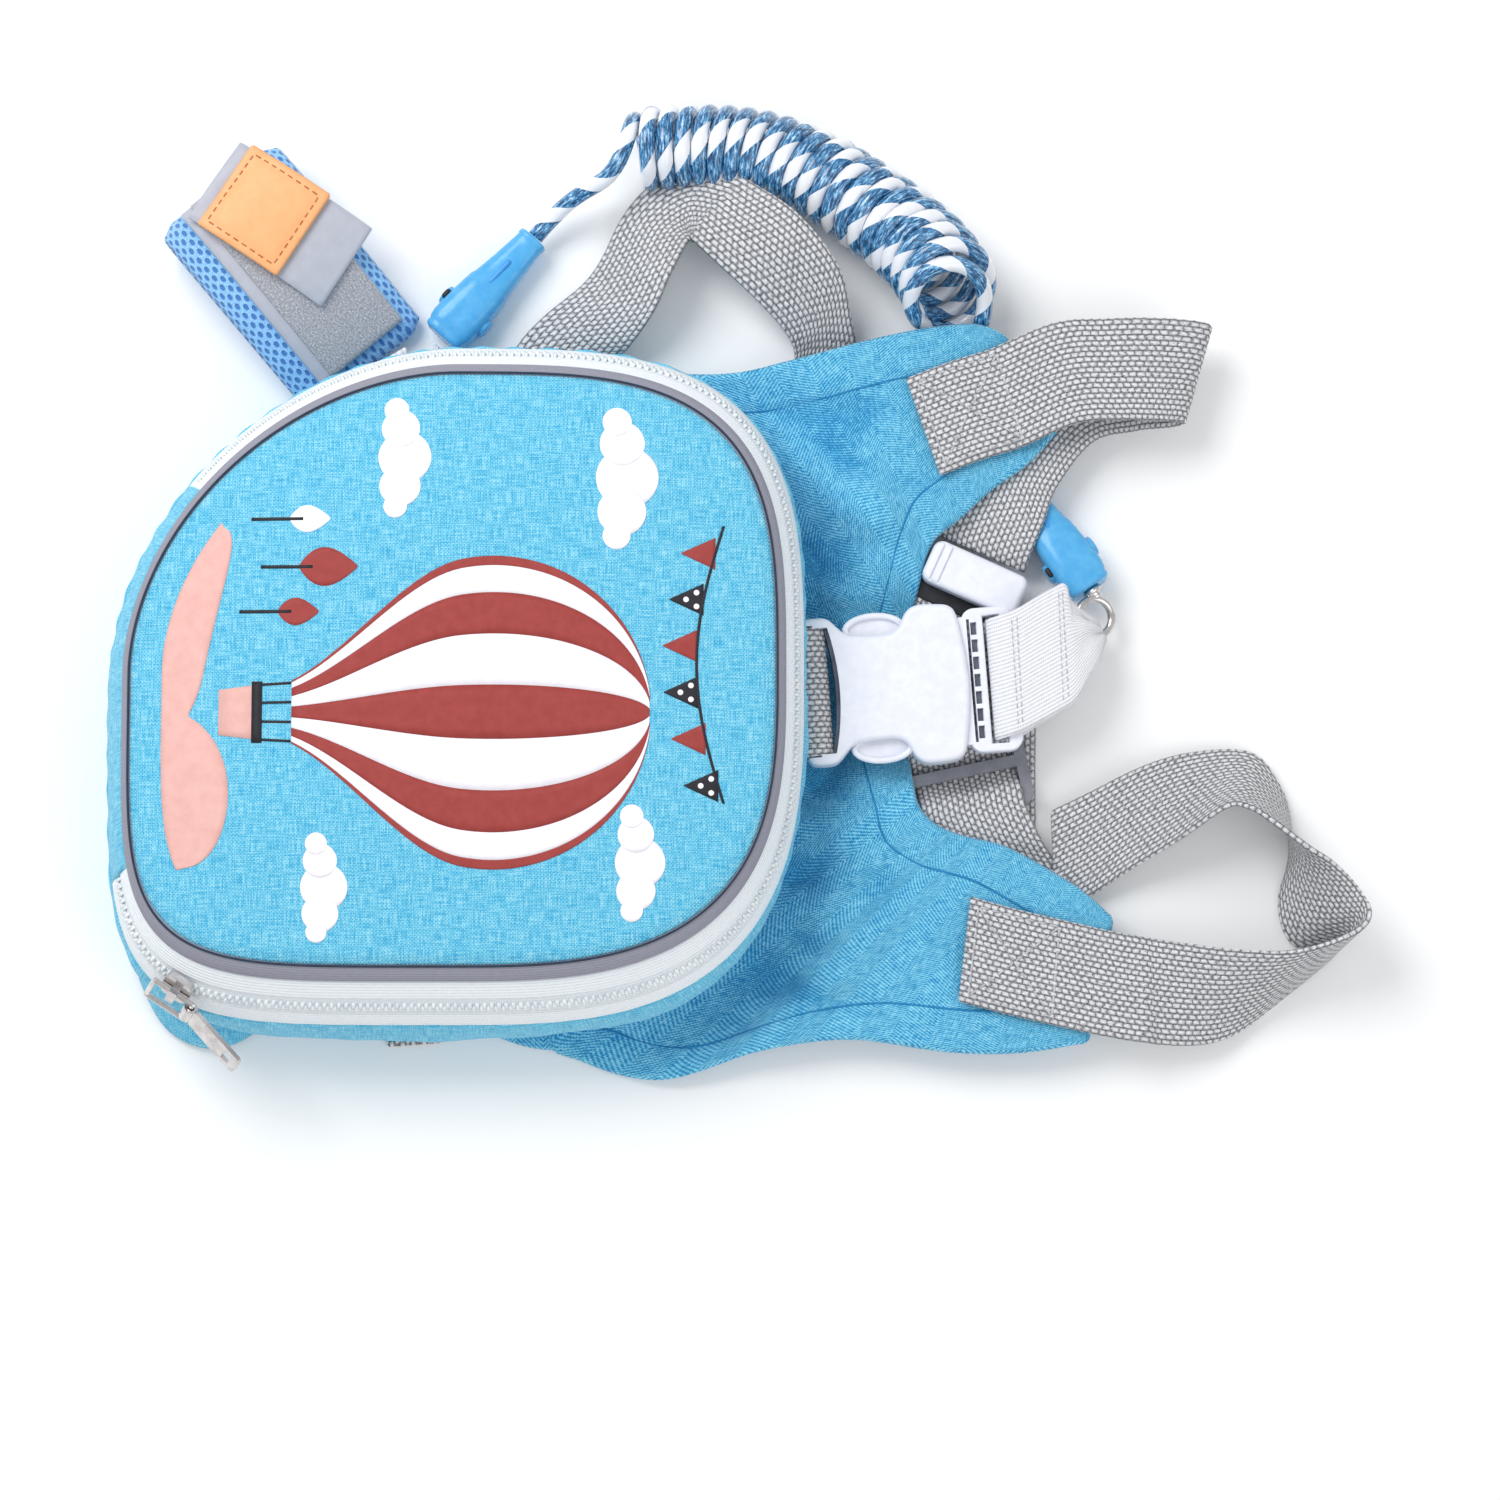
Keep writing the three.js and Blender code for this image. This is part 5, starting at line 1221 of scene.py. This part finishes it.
balloonX, balloonY = printSetup["balloon"]
balloonT = np.linspace(0.03, 1, 60) ** 1.6
balloonPlace = balloonX + printSetup["radius"] * (1 - 2.28 * balloonT)
balloonWide = np.array([balloonHalf(t) for t in balloonT])
goreEdge = np.sin(np.radians(np.linspace(-90, 90, printSetup["gores"] + 1)))
for k in range(printSetup["gores"]):
    a, b = (np.stack([balloonPlace, balloonY + balloonWide * edge], axis=1) for edge in goreEdge[k : k + 2])
    printShape(f"print_gore_{k}", a, b, "printRed" if k % 2 == 0 else "printWhite", 6, 0.004 * k)
mouthX = balloonPlace[-1]
basket = bothSides([mouthX - 9, mouthX - 21], balloonY, 0, [8, 6.5])
printShape("print_basket", *basket, "printPink", 8)
basketRim = bothSides([mouthX - 8.5, mouthX - 11.5], balloonY, 0, 8.8)
printShape("print_basket_rim", *basketRim, "printBlack", 8, 0.03)
t = np.linspace(0, 1, 8)
for k, y in enumerate((-8.2, -2.8, 2.8, 8.2)):
    rope = bothSides(mouthX - 0.2 - 8.6 * t, balloonY + y * (1.02 - 0.06 * t), 0, 0.35)
    printShape(f"print_rope_{k}", *rope, "printBlack", 3, 0.02)
for group, (cx, cy, size) in enumerate(printSetup["clouds"]):
    for k, (dx, dy, r) in enumerate(printSetup["puffs"]):
        printDisc(f"print_cloud_{group}_{k}", cx + dx * size, cy + dy * size, r * size, "printWhite", 0.006 * k)
rimLeft = outline(0, np.radians(np.linspace(110, 250, 140)), 9)[::-1]
hillY = np.linspace(-57, 43, 90)
hillLow = np.interp(hillY, rimLeft[:, 1], rimLeft[:, 0])
hillTop = hillLow + 0.3
for middle, half, height in printSetup["hills"]:
    bump = np.sqrt(np.clip(1 - ((hillY - middle) / half) ** 2, 0, 1))
    hillTop = np.maximum(hillTop, hillLow + 0.3 + height * bump)
hills = (np.stack([hillX, hillY], axis=1) for hillX in (hillLow, hillTop))
printShape("print_hills", *hills, "printPink", 10)
leafT, stemT = np.linspace(0.01, 0.99, 26), np.linspace(0, 1, 8)
for k, (x, y, length, tone) in enumerate(printSetup["leaves"]):
    half = length * 0.36 * np.sin(math.pi * leafT) ** 0.8 * (1.15 - 0.5 * leafT)
    printShape(f"print_leaf_{k}", *bothSides(x + length * leafT, y, 0, half), tone, 8, 0.012)
    printShape(f"print_stem_{k}", *bothSides(x - 11 + 15 * stemT, y, 0, 0.45), "printBlack", 3, 0.04)


def stringX(y):
    return printSetup["string"]["x"] - printSetup["string"]["sag"] * np.cos((y - 2) / 26)


stringY = np.linspace(printSetup["string"]["from"], printSetup["string"]["to"], 50)
printShape("print_string", *bothSides(stringX(stringY), stringY, 0.4, 0), "printBlack", 3, 0.02)
flags, t = printSetup["flags"], np.linspace(0, 0.97, 10)
for k in range(flags["count"]):
    y = flags["first"] + k * flags["pitch"]
    x = float(stringX(y))
    flag = bothSides(x - flags["length"] * t, y, 0, flags["half"] * (1 - t))
    printShape(f"print_flag_{k}", *flag, "printBlack" if k % 2 == 0 else "printRed", 6, 0.01)
    if k % 2 == 0:
        for n, (dx, dy) in enumerate(printSetup["dots"]):
            printDisc(f"print_dot_{k}_{n}", x + dx, y + dy, 0.8, "printWhite", 0.05)
print("printed design")

# Leash anchor: side-release buckle with the haul webbing and the white webbing

# block sizes and middles below are in the buckle's own frame, from the female half's bar towards the ring
buckleSetup = {
    "length": 49,
    "width": 47,
    "place": (101, -2.3, 17),
    "turn": 4.4,
    "webHalf": 18.5,
    "barNotches": ((8, 39, 10, 0, 0, 7.6), (8, 39, 10, 0, 0, -7.6)),
    "inside": (49, 38.5, 6, 36.3, 0, 0),
    "tongue": (8, 37.9, 5.4, 46.6, 0, 0),
    "frameSlit": (0.9, 36.6, 8, 50, 0, 0),
    "dents": {"size": (1.9, 3.8, 2.6), "x": 51.6, "z": 2.7, "reach": 15.4, "count": 7},
}


def placed(place, turn):
    return Matrix.Translation(Vector(place) * mm) @ Matrix.Rotation(math.radians(turn), 4, "Z")


buckleMatrix = placed(buckleSetup["place"], buckleSetup["turn"])
femaleSide = [
    (0, 0.425), (0.03, 0.455), (0.1, 0.465), (0.18, 0.45), (0.27, 0.36), (0.36, 0.335), (0.53, 0.33),
    (0.6, 0.37), (0.65, 0.46), (0.72, 0.5), (0.86, 0.495), (0.92, 0.475), (0.95, 0.43), (0.968, 0.33), (0.99, 0.17),
    (1, 0),
]


def inBuckle(points):
    flatPoints = np.asarray(points, float).reshape(-1, 3)
    moved = np.array([buckleMatrix @ Vector(p * mm) for p in flatPoints]) / mm
    return moved.reshape(np.shape(points))


upperSide = catmull([(a * buckleSetup["length"], h * buckleSetup["width"]) for a, h in femaleSide], 5)
femaleOutline = [tuple(p) for p in upperSide] + [(x, -y) for x, y in upperSide[::-1][1:]]
female = plate("buckle_female_shell", [femaleOutline], -5, 5, 1.7, 5)
slotBow = [(8.4 + 2.4 * (1 - (y / 18.7) ** 2), y) for y in np.linspace(18.7, -18.7, 17)]
slotOutline = [(4, -18.7), (4, 18.7)] + slotBow
female = carve(female, [
    plate("slot", [slotOutline], -9, 9, 0.01, 0),
    *(block(*notch) for notch in buckleSetup["barNotches"]),
    block(*buckleSetup["inside"]),
])
female.data.transform(buckleMatrix)
dress(female, "whitePlastic", ("buckle_female",))
# painted shade: a grey sheet inside the female's slot stands for the shade on its inner wall
slotShadeOutline = [(x - 1.2, y) for x, y in slotBow] + [(x + 0.3, y) for x, y in slotBow[::-1]]
slotShadeSheet = plate("buckle_slot_painted_shade", [slotShadeOutline], -4.6, 2.6, 0.2, 2)
slotShadeSheet.data.transform(buckleMatrix)
dress(slotShadeSheet, "paintedSlotShade")

maleOutline = [(x + 55.8, y) for x, y in roundedBox(7.8, 21.5, 4)]
webHole = [(54.4, -19), (54.4, 19), (59.4, 19), (59.4, -19)]
male = plate("buckle_male_frame", [maleOutline, webHole], -2.7, 2.7, 0.7, 3)
male = carve(male, [block(*buckleSetup["tongue"])], "UNION")
dents = buckleSetup["dents"]
dentRow = np.linspace(-dents["reach"], dents["reach"], dents["count"])
dentCuts = [block(*dents["size"], dents["x"], y, dents["z"]) for y in dentRow]
male = carve(male, [block(*buckleSetup["frameSlit"])] + dentCuts)
# painted shade: a grey sheet at the dents' floor darkens them as shade would
dentShadeOutline = [(50.8, -17.2), (52.4, -17.2), (52.4, 17.2), (50.8, 17.2)]
dentShade = plate("frame_dent_painted_shade", [dentShadeOutline], 0.4, 1.5, 0.1, 1)
dentShade.data.transform(buckleMatrix)
dress(dentShade, "paintedSlotShade")
male.data.transform(buckleMatrix)
dress(male, "whitePlastic", ("buckle_male",))
for side in (1, -1):
    t = np.linspace(0, 2 * math.pi, 48, endpoint=False)
    lens = np.stack([22.2 + 8.4 * np.cos(t), side * 17.6 + 3.9 * np.sin(t), 0.6 + 0 * t], axis=1)
    armName = f"release_arm_{'upper' if side > 0 else 'lower'}"
    armPlate = plate(armName, [[(p[0], p[1]) for p in lens]], -2.6, 0.9, 0.6, 3)
    armPlate.data.transform(buckleMatrix)
    dress(armPlate, "whitePlastic")
    lens[:, 2] = 1.6
    rimLine = inBuckle(lens)
    dress(tubeMesh(armName + "_rim", rimLine, 0.95, 12, closed=True), "whitePlastic")

haulRows = [
    (-6, -11.4), (-3.2, -8.3), (-1.9, -1), (-1.5, 3.5), (1.2, 4.9), (4, 4.6), (6.7, 2),
    (6.7, -2), (4, -4.8), (1.6, -6.2), (0, -8.2), (-2.2, -12.6),
]
haulLine = evenly(catmull(haulRows, 12), 60)
haulGrid = [
    [(x, v * buckleSetup["webHalf"], z + 0.12 * ripple(x, v * 18, 6, 0.2)) for x, z in haulLine]
    for v in np.linspace(-1, 1, 19)
]
dress(shell("haul_web", inBuckle(haulGrid), 1.6), "greyWeb", ("haul_webbing",))

# white webbing: x, y, z, width share and skew, from the ring round the frame's bar and back
leashRows = [
    (90, 12.4, -6.1, 0.12, -0.4), (88, 12.2, -9, 0.2, -0.35), (84, 11, -9.4, 0.4, -0.2), (78, 8, -9, 0.85, 0),
    (70, 4.5, -5.5, 0.96, 0.05), (64.3, 1.6, -4.1, 0.96, 0), (59.6, 0.6, -4.1, 0.95, 0), (56.4, 0, -2, 0.95, 0),
    (56.4, 0, 2, 0.95, 0), (59.6, 0.6, 4.1, 0.95, 0), (64.3, 2, 4.1, 0.96, 0.03), (69.6, 4.5, 4, 0.98, 0.05),
    (75, 7, 3.9, 0.98, 0.05), (79.4, 9, 3.3, 0.93, 0), (82, 10.4, 2.2, 0.66, -0.15), (85.2, 12, 0.6, 0.42, -0.36),
    (88.6, 12.3, -2.4, 0.2, -0.4), (90, 12.4, -6.1, 0.12, -0.4),
]
leashLine = evenly(catmull(leashRows, 10), 110)[:-1]
leashGrid = np.zeros((21, len(leashLine), 3))
for j, (x, y, z, wide, skew) in enumerate(leashLine):
    for k, v in enumerate(np.linspace(-1, 1, 21)):
        across = v * buckleSetup["webHalf"] * wide
        fold = (1 - wide) * 1.1 * math.sin(v * 8) * min(1, 3 * (1 - wide))
        leashGrid[k, j] = (x + skew * across, y + across, z + fold * 0.8)
dress(shell("leash_anchor_web", inBuckle(leashGrid), 1.4, wrap=True), "whiteWeb", ("leash_webbing",))
leashThread = Stitching(0.2)
for place in (62.6, 64.2, 76.4, 78.2):  # double rows at the bar and before the fold
    j = int(np.argmin(np.abs(leashLine[:, 0] - place) + 50 * (leashLine[:, 2] < 1.5)))
    leashThread.line(inBuckle(leashGrid[1:-1, j]) + (0, 0, 0.8), (0, 0, 1), stitch=1.6, space=0.6)
leashThread.done("leash_anchor_stitches", "whiteThread")
print("buckle and its webbing")

# Chest buckle: a white cap over a near-black plate that paints the shadow and hollow beneath it

chestSetup = {
    "place": (152.2, 32.8, 2.9),
    "turn": -24.5,
    "cap": (15.2, 6.6, 3),  # half length, half width, corner radius
    # base: the near-black plate that paints the shadow and hollow under the cap
    "base": (11.4, 7, 1.6),
    "shadowShift": (-3.6, -4.4),
    "grooves": (-9.6, -12.2),
    "top": 11.8,
}
chestMatrix = placed(chestSetup["place"], chestSetup["turn"])
chestCap = plate("chest_buckle_cap", [roundedBox(*chestSetup["cap"])], 4.2, chestSetup["top"], 1.8, 5)
chestCap = carve(chestCap, [block(0.7, 14, 1.4, x, 0, chestSetup["top"]) for x in chestSetup["grooves"]])
chestCap.data.transform(chestMatrix)
dress(chestCap, "whitePlastic", ("chest_buckle",))
# painted shadow: the near-black plate under and beside the cap
shiftX, shiftY = chestSetup["shadowShift"]
shadowOutline = [(x + shiftX, y + shiftY) for x, y in roundedBox(*chestSetup["base"])]
chestShadow = plate("chest_buckle_painted_shadow", [shadowOutline], -0.8, 4.6, 0.7, 3, chestMatrix)
dress(chestShadow, "paintedShadeDark")
hardPieces = {
    "tri_glide": ("greyPlastic", 0.7),
    "zip_slider": ("nickel", 0.22),
    "pull_link": ("nickel", 0.22),
    "pull_tab": ("nickel", 0.22),
}
for nodeName, (finishName, edgeRadius) in hardPieces.items():
    node = cad[nodeName]
    node.data.materials.clear()
    node.data.materials.append(finish[finishName])
    rounding = node.modifiers.new("rounding", "BEVEL")
    rounding.width = edgeRadius * mm
    rounding.segments = 3
    rounding.limit_method = "ANGLE"
    rounding.harden_normals = False
print("chest buckle and adjuster")

# Leash connectors and swivel

connectorSetup = {"length": 41, "width": 16, "flat": 0.78, "sides": 40, "bossAt": 0.26, "bossRadius": 3.2}
connectorProfile = [
    (0, 0.02), (0, 0.74), (0.008, 0.84), (0.03, 0.9), (0.05, 0.88), (0.07, 0.94), (0.12, 1), (0.25, 1), (0.42, 0.94),
    (0.5, 0.9), (0.53, 0.84), (0.6, 0.78), (0.75, 0.69), (0.9, 0.61), (0.955, 0.585), (0.965, 0.63), (0.99, 0.62),
    (1, 0.56), (1, 0.35),
]


def connector(name, tip, way, node):
    tip, way = np.array(tip, float), unit(np.array(way, float))
    base = tip + way * (gap + connectorSetup["length"])
    along = -way
    across = unit(np.cross(along, (0, 0, 1)))
    top = np.cross(across, along)
    points, faces, corners = [], [], []
    sides, halfWidth = connectorSetup["sides"], connectorSetup["width"] / 2
    for t, r in connectorProfile:
        for k in range(sides):
            a = 2 * math.pi * k / sides
            square = 1 - 0.09 * math.cos(4 * a) * (1 - 0.5 * t)
            x = r * square * halfWidth * math.cos(a)
            z = r * square * halfWidth * connectorSetup["flat"] * math.sin(a)
            points.append(base + along * t * connectorSetup["length"] + across * x + top * z)
    for i in range(len(connectorProfile) - 1):
        for k in range(sides):
            a, b = i * sides + k, i * sides + (k + 1) % sides
            faces.append((a, b, b + sides, a + sides))
            corners += [(k, i), (k + 1, i), (k + 1, i + 1), (k, i + 1)]
    for start in (0, (len(connectorProfile) - 1) * sides):
        faces.append(list(range(start, start + sides)))
        corners += [(0, 0)] * sides
    body = dress(addMesh(name, points, faces, corners), "bluePlastic", (node,))
    parts = [body]
    bossMiddle = base + along * connectorSetup["bossAt"] * connectorSetup["length"]
    for side, letter in ((1, "a"), (-1, "b")):
        hub = bossMiddle + across * side * (halfWidth - 2.4)
        lug = [hub + across * side * d for d in (0, 1.4, 2.6, 2.9, 3.0)]
        sizes = np.array([1, 1, 0.96875, 0.8125, 0.4375]) * connectorSetup["bossRadius"]
        parts.append(dress(tubeMesh(f"{name}_boss_{letter}", lug, sizes, 24), "bluePlastic"))
    # painted shade: a near-black rod in the boss's screw hole stands for the shade inside the hole
    seat = bossMiddle - across * (halfWidth - 0.3) + top * 2.7
    pit = ended(name + "_screw_hole_shade", [seat - along * 0.8, seat + along * 0.8], 0.85, 16)
    parts.append(dress(pit, "paintedShadeDark"))
    # painted shade: a darker blue rod along the slot in the top stands for the shade inside it
    window = base + top * halfWidth * connectorSetup["flat"] * 0.7
    slit = [window + along * d - top * 0.02 * (d - 22) for d in np.linspace(22, 30, 8)]
    parts.append(dress(ended(name + "_slit", slit, 0.8, 12), "slitShadeBlue"))
    return parts


packParts = connector("connector_pack_body", (163.7, 64.1, 5.3), (25, -36.6, 5), "connector_pack")
wristParts = connector("connector_wrist_body", (20.4, 137.4, 7), (-26.2, -29.1, 0), "connector_wrist")

swivelWay = unit(np.array((25, -36.6, 5.0)))
stemStart = np.array((187.02, 29.97, 9.96))
stemLine = [stemStart + swivelWay * d for d in (-0.5, 0.2, 0.25, 1.5, 1.6, 2.6, 3.4)]
swivelStem = tubeMesh("swivel_stem", stemLine, np.array([2.6, 2.6, 3.0, 3.0, 2.0, 1.9, 1.6]), 20)
dress(swivelStem, "nickel")
ringCentre = np.array((188.0, 21.6, 10.4))
ringWay = unit(stemStart + swivelWay * 3 - ringCentre)
ringSide = unit(np.cross(ringWay, (0.45, 0, 1)))
t = np.linspace(0, 2 * math.pi, 56, endpoint=False)[:, None]
ringLine = ringCentre + 5.6 * (np.cos(t) * ringWay + np.sin(t) * ringSide)
dress(tubeMesh("swivel_ring", ringLine, 1.25, 14, closed=True), "nickel", ("leash_swivel",))
print("connectors and swivel")

# Wrist cuff: a padded loop folded flat, with its tapes and patch

cuffSetup = {
    "wall": 4.1,
    "halfWidth": 21.2,
    "edgeRun": 24,
    "lowest": 2.45,  # of the pad's middle
    "middle": (34, 9),  # what the loop goes round
    "tabTurn": 16.5,
    "tabMiddle": (23.9, 7.2),
}
cuffFold, cuffWay = np.array((-75.5, 151.8, 0.0)), unit(np.array((0.645, -0.765, 0)))
cuffAcross = np.array((-cuffWay[1], cuffWay[0], 0))


def inCuff(points):
    points = np.asarray(points, float)
    x, y, z = (points[..., k : k + 1] for k in range(3))
    return cuffFold + x * cuffWay + y * cuffAcross + z * np.array((0, 0, 1.0))


loopPath = [
    (68.2, 2.5), (60, 2.6), (45, 2.6), (28, 2.6), (14, 2.7), (6.5, 4.4), (2.7, 9.3), (3.6, 15.4), (9, 19.3), (21, 20),
    (38.5, 17.2), (56, 11.4), (64.5, 7.8), (68.2, 6.6), (69.3, 4.6), (68.2, 2.5),
]
loopLine = evenly(catmull(loopPath, 10), 150)[:-1]
cuffGrid = np.zeros((34, len(loopLine), 3))
cuffThickness = np.zeros((34, len(loopLine)))
for k, v in enumerate(np.linspace(-1, 1, 34)):
    edge = float(smooth((1 - abs(v)) * cuffSetup["edgeRun"] / 5))
    for j, (x, z) in enumerate(loopLine):
        swell = 0.5 * ripple(x, v * cuffSetup["edgeRun"] + z, 8, 0.07)
        swell -= 1.4 * (1 - edge) * (1 + ripple(x * 2, z, 12, 0.05))  # drawn in at its edges
        out = unit(np.array((x - cuffSetup["middle"][0], (z - cuffSetup["middle"][1]) * 3)))
        height = max(cuffSetup["lowest"], z + swell * 0.5 * np.sign(z - 5))
        cuffGrid[k, j] = (x + out[0] * swell * 0.3, v * cuffSetup["halfWidth"], height)
        cuffThickness[k, j] = cuffSetup["wall"] * (0.42 + 0.58 * edge)
cuffPad = shell("cuff_pad_mesh", inCuff(cuffGrid), cuffThickness, wrap=True, edge=1.0)
dress(cuffPad, "mesh", ("cuff_pad",))

cuffTopRows = [(0, 9.54), (2.1, 17.0), (8.4, 21.6), (21, 22.3), (38.5, 19.7), (56, 13.5), (65.8, 9.8), (70, 8.2)]
cuffTopRows = catmull(cuffTopRows, 8)


def cuffTop(x):
    return np.interp(x, cuffTopRows[:, 0], cuffTopRows[:, 1])


# a fuzzy tape over a plain one that shows as its border
cuffTapes = {
    "cuff_loop_border": {"half": 16.5, "lift": 1.1, "finish": "hookTape", "replaces": ()},
    "cuff_loop_tape": {"half": 12.6, "lift": 2.2, "finish": "loopTape", "replaces": ("cuff_loop_strip",)},
}
stripX = np.linspace(2.4, 67, 52)
for tapeName, tape in cuffTapes.items():
    stripGrid = []
    for v in np.linspace(-1, 1, 15):
        y = 3 + v * (tape["half"] if v < 0 else 14)
        stripGrid.append([(x, y, cuffTop(x) + tape["lift"] + 0.15 * ripple(x, v * 13, 3, 0.1)) for x in stripX])
    dress(shell(tapeName, inCuff(stripGrid), 1.0), tape["finish"], tape["replaces"])


# a point of the tab: along and across it from its middle, raised off the strip and bent down past the fold
def onStrip(along, across, lift):
    turn = math.radians(cuffSetup["tabTurn"])
    x = cuffSetup["tabMiddle"][0] + math.cos(turn) * along - math.sin(turn) * across
    y = cuffSetup["tabMiddle"][1] + math.sin(turn) * along + math.cos(turn) * across
    return (x, y, cuffTop(max(x, 7)) + lift - 0.05 * max(0, 3 - x) ** 2)


tabGrid = [[onStrip(a, b, 3.9) for a in np.linspace(-23, 23.5, 46)] for b in np.linspace(-13.5, 13.5, 13)]
dress(shell("cuff_hook_tape", inCuff(tabGrid), 1.2), "hookTape", ("cuff_hook_tab",))
patchGrid = np.array([[onStrip(a, b, 5.9) for a in np.linspace(-18.6, 8.4, 27)] for b in np.linspace(-13.6, 14.2, 27)])
patchGrid = inCuff(patchGrid)
patchV = np.linspace(-1, 1, 27)
patchEdge = np.minimum(1 - np.abs(patchV)[:, None], 1 - np.abs(patchV)[None, :]) * 13
patchGrid[..., 2] += 0.3 * smooth(patchEdge / 5) - 0.35 * np.exp(-((patchEdge - 1.6) / 0.7) ** 2)
dress(shell("cuff_leather_patch", patchGrid, 1.4, edge=1.0), "leather", ("cuff_patch",))
patchThread = Stitching(0.24)
patchFrame = [(1.7, 0.06), (25.3, 0.06), (25.3, 0.94), (1.7, 0.94), (1.7, 0.06)]
stitchPath(patchThread, patchGrid, patchFrame, 0.72, 1.9, 0.8, 14)
patchThread.done("patch_stitches", "leatherThread")

cuffWebRows = [
    (-24.93, 98.59, 10.64, 31, 0, 1, 0),
    (-23.22, 95.79, 9.41, 31, 0, 1, 0),
    (-22.02, 94.59, 6.5, 35, 0, 0.8, 0),
    (-15.45, 94.8, 5.04, 80, 0, 0.55, 0),
    (-8.48, 97.5, 5.04, 120, 0, 0.5, 0),
    (-6.36, 102, 5.6, 138, 0, 0.5, 0),
]
cuffWebGrid = ribbonGrid(cuffWebRows, 16, 1.6)
dress(shell("cuff_connector_web", cuffWebGrid, 1.4), "whiteWeb", ("cuff_webbing",))
print("wrist cuff")

print("all pieces placed")
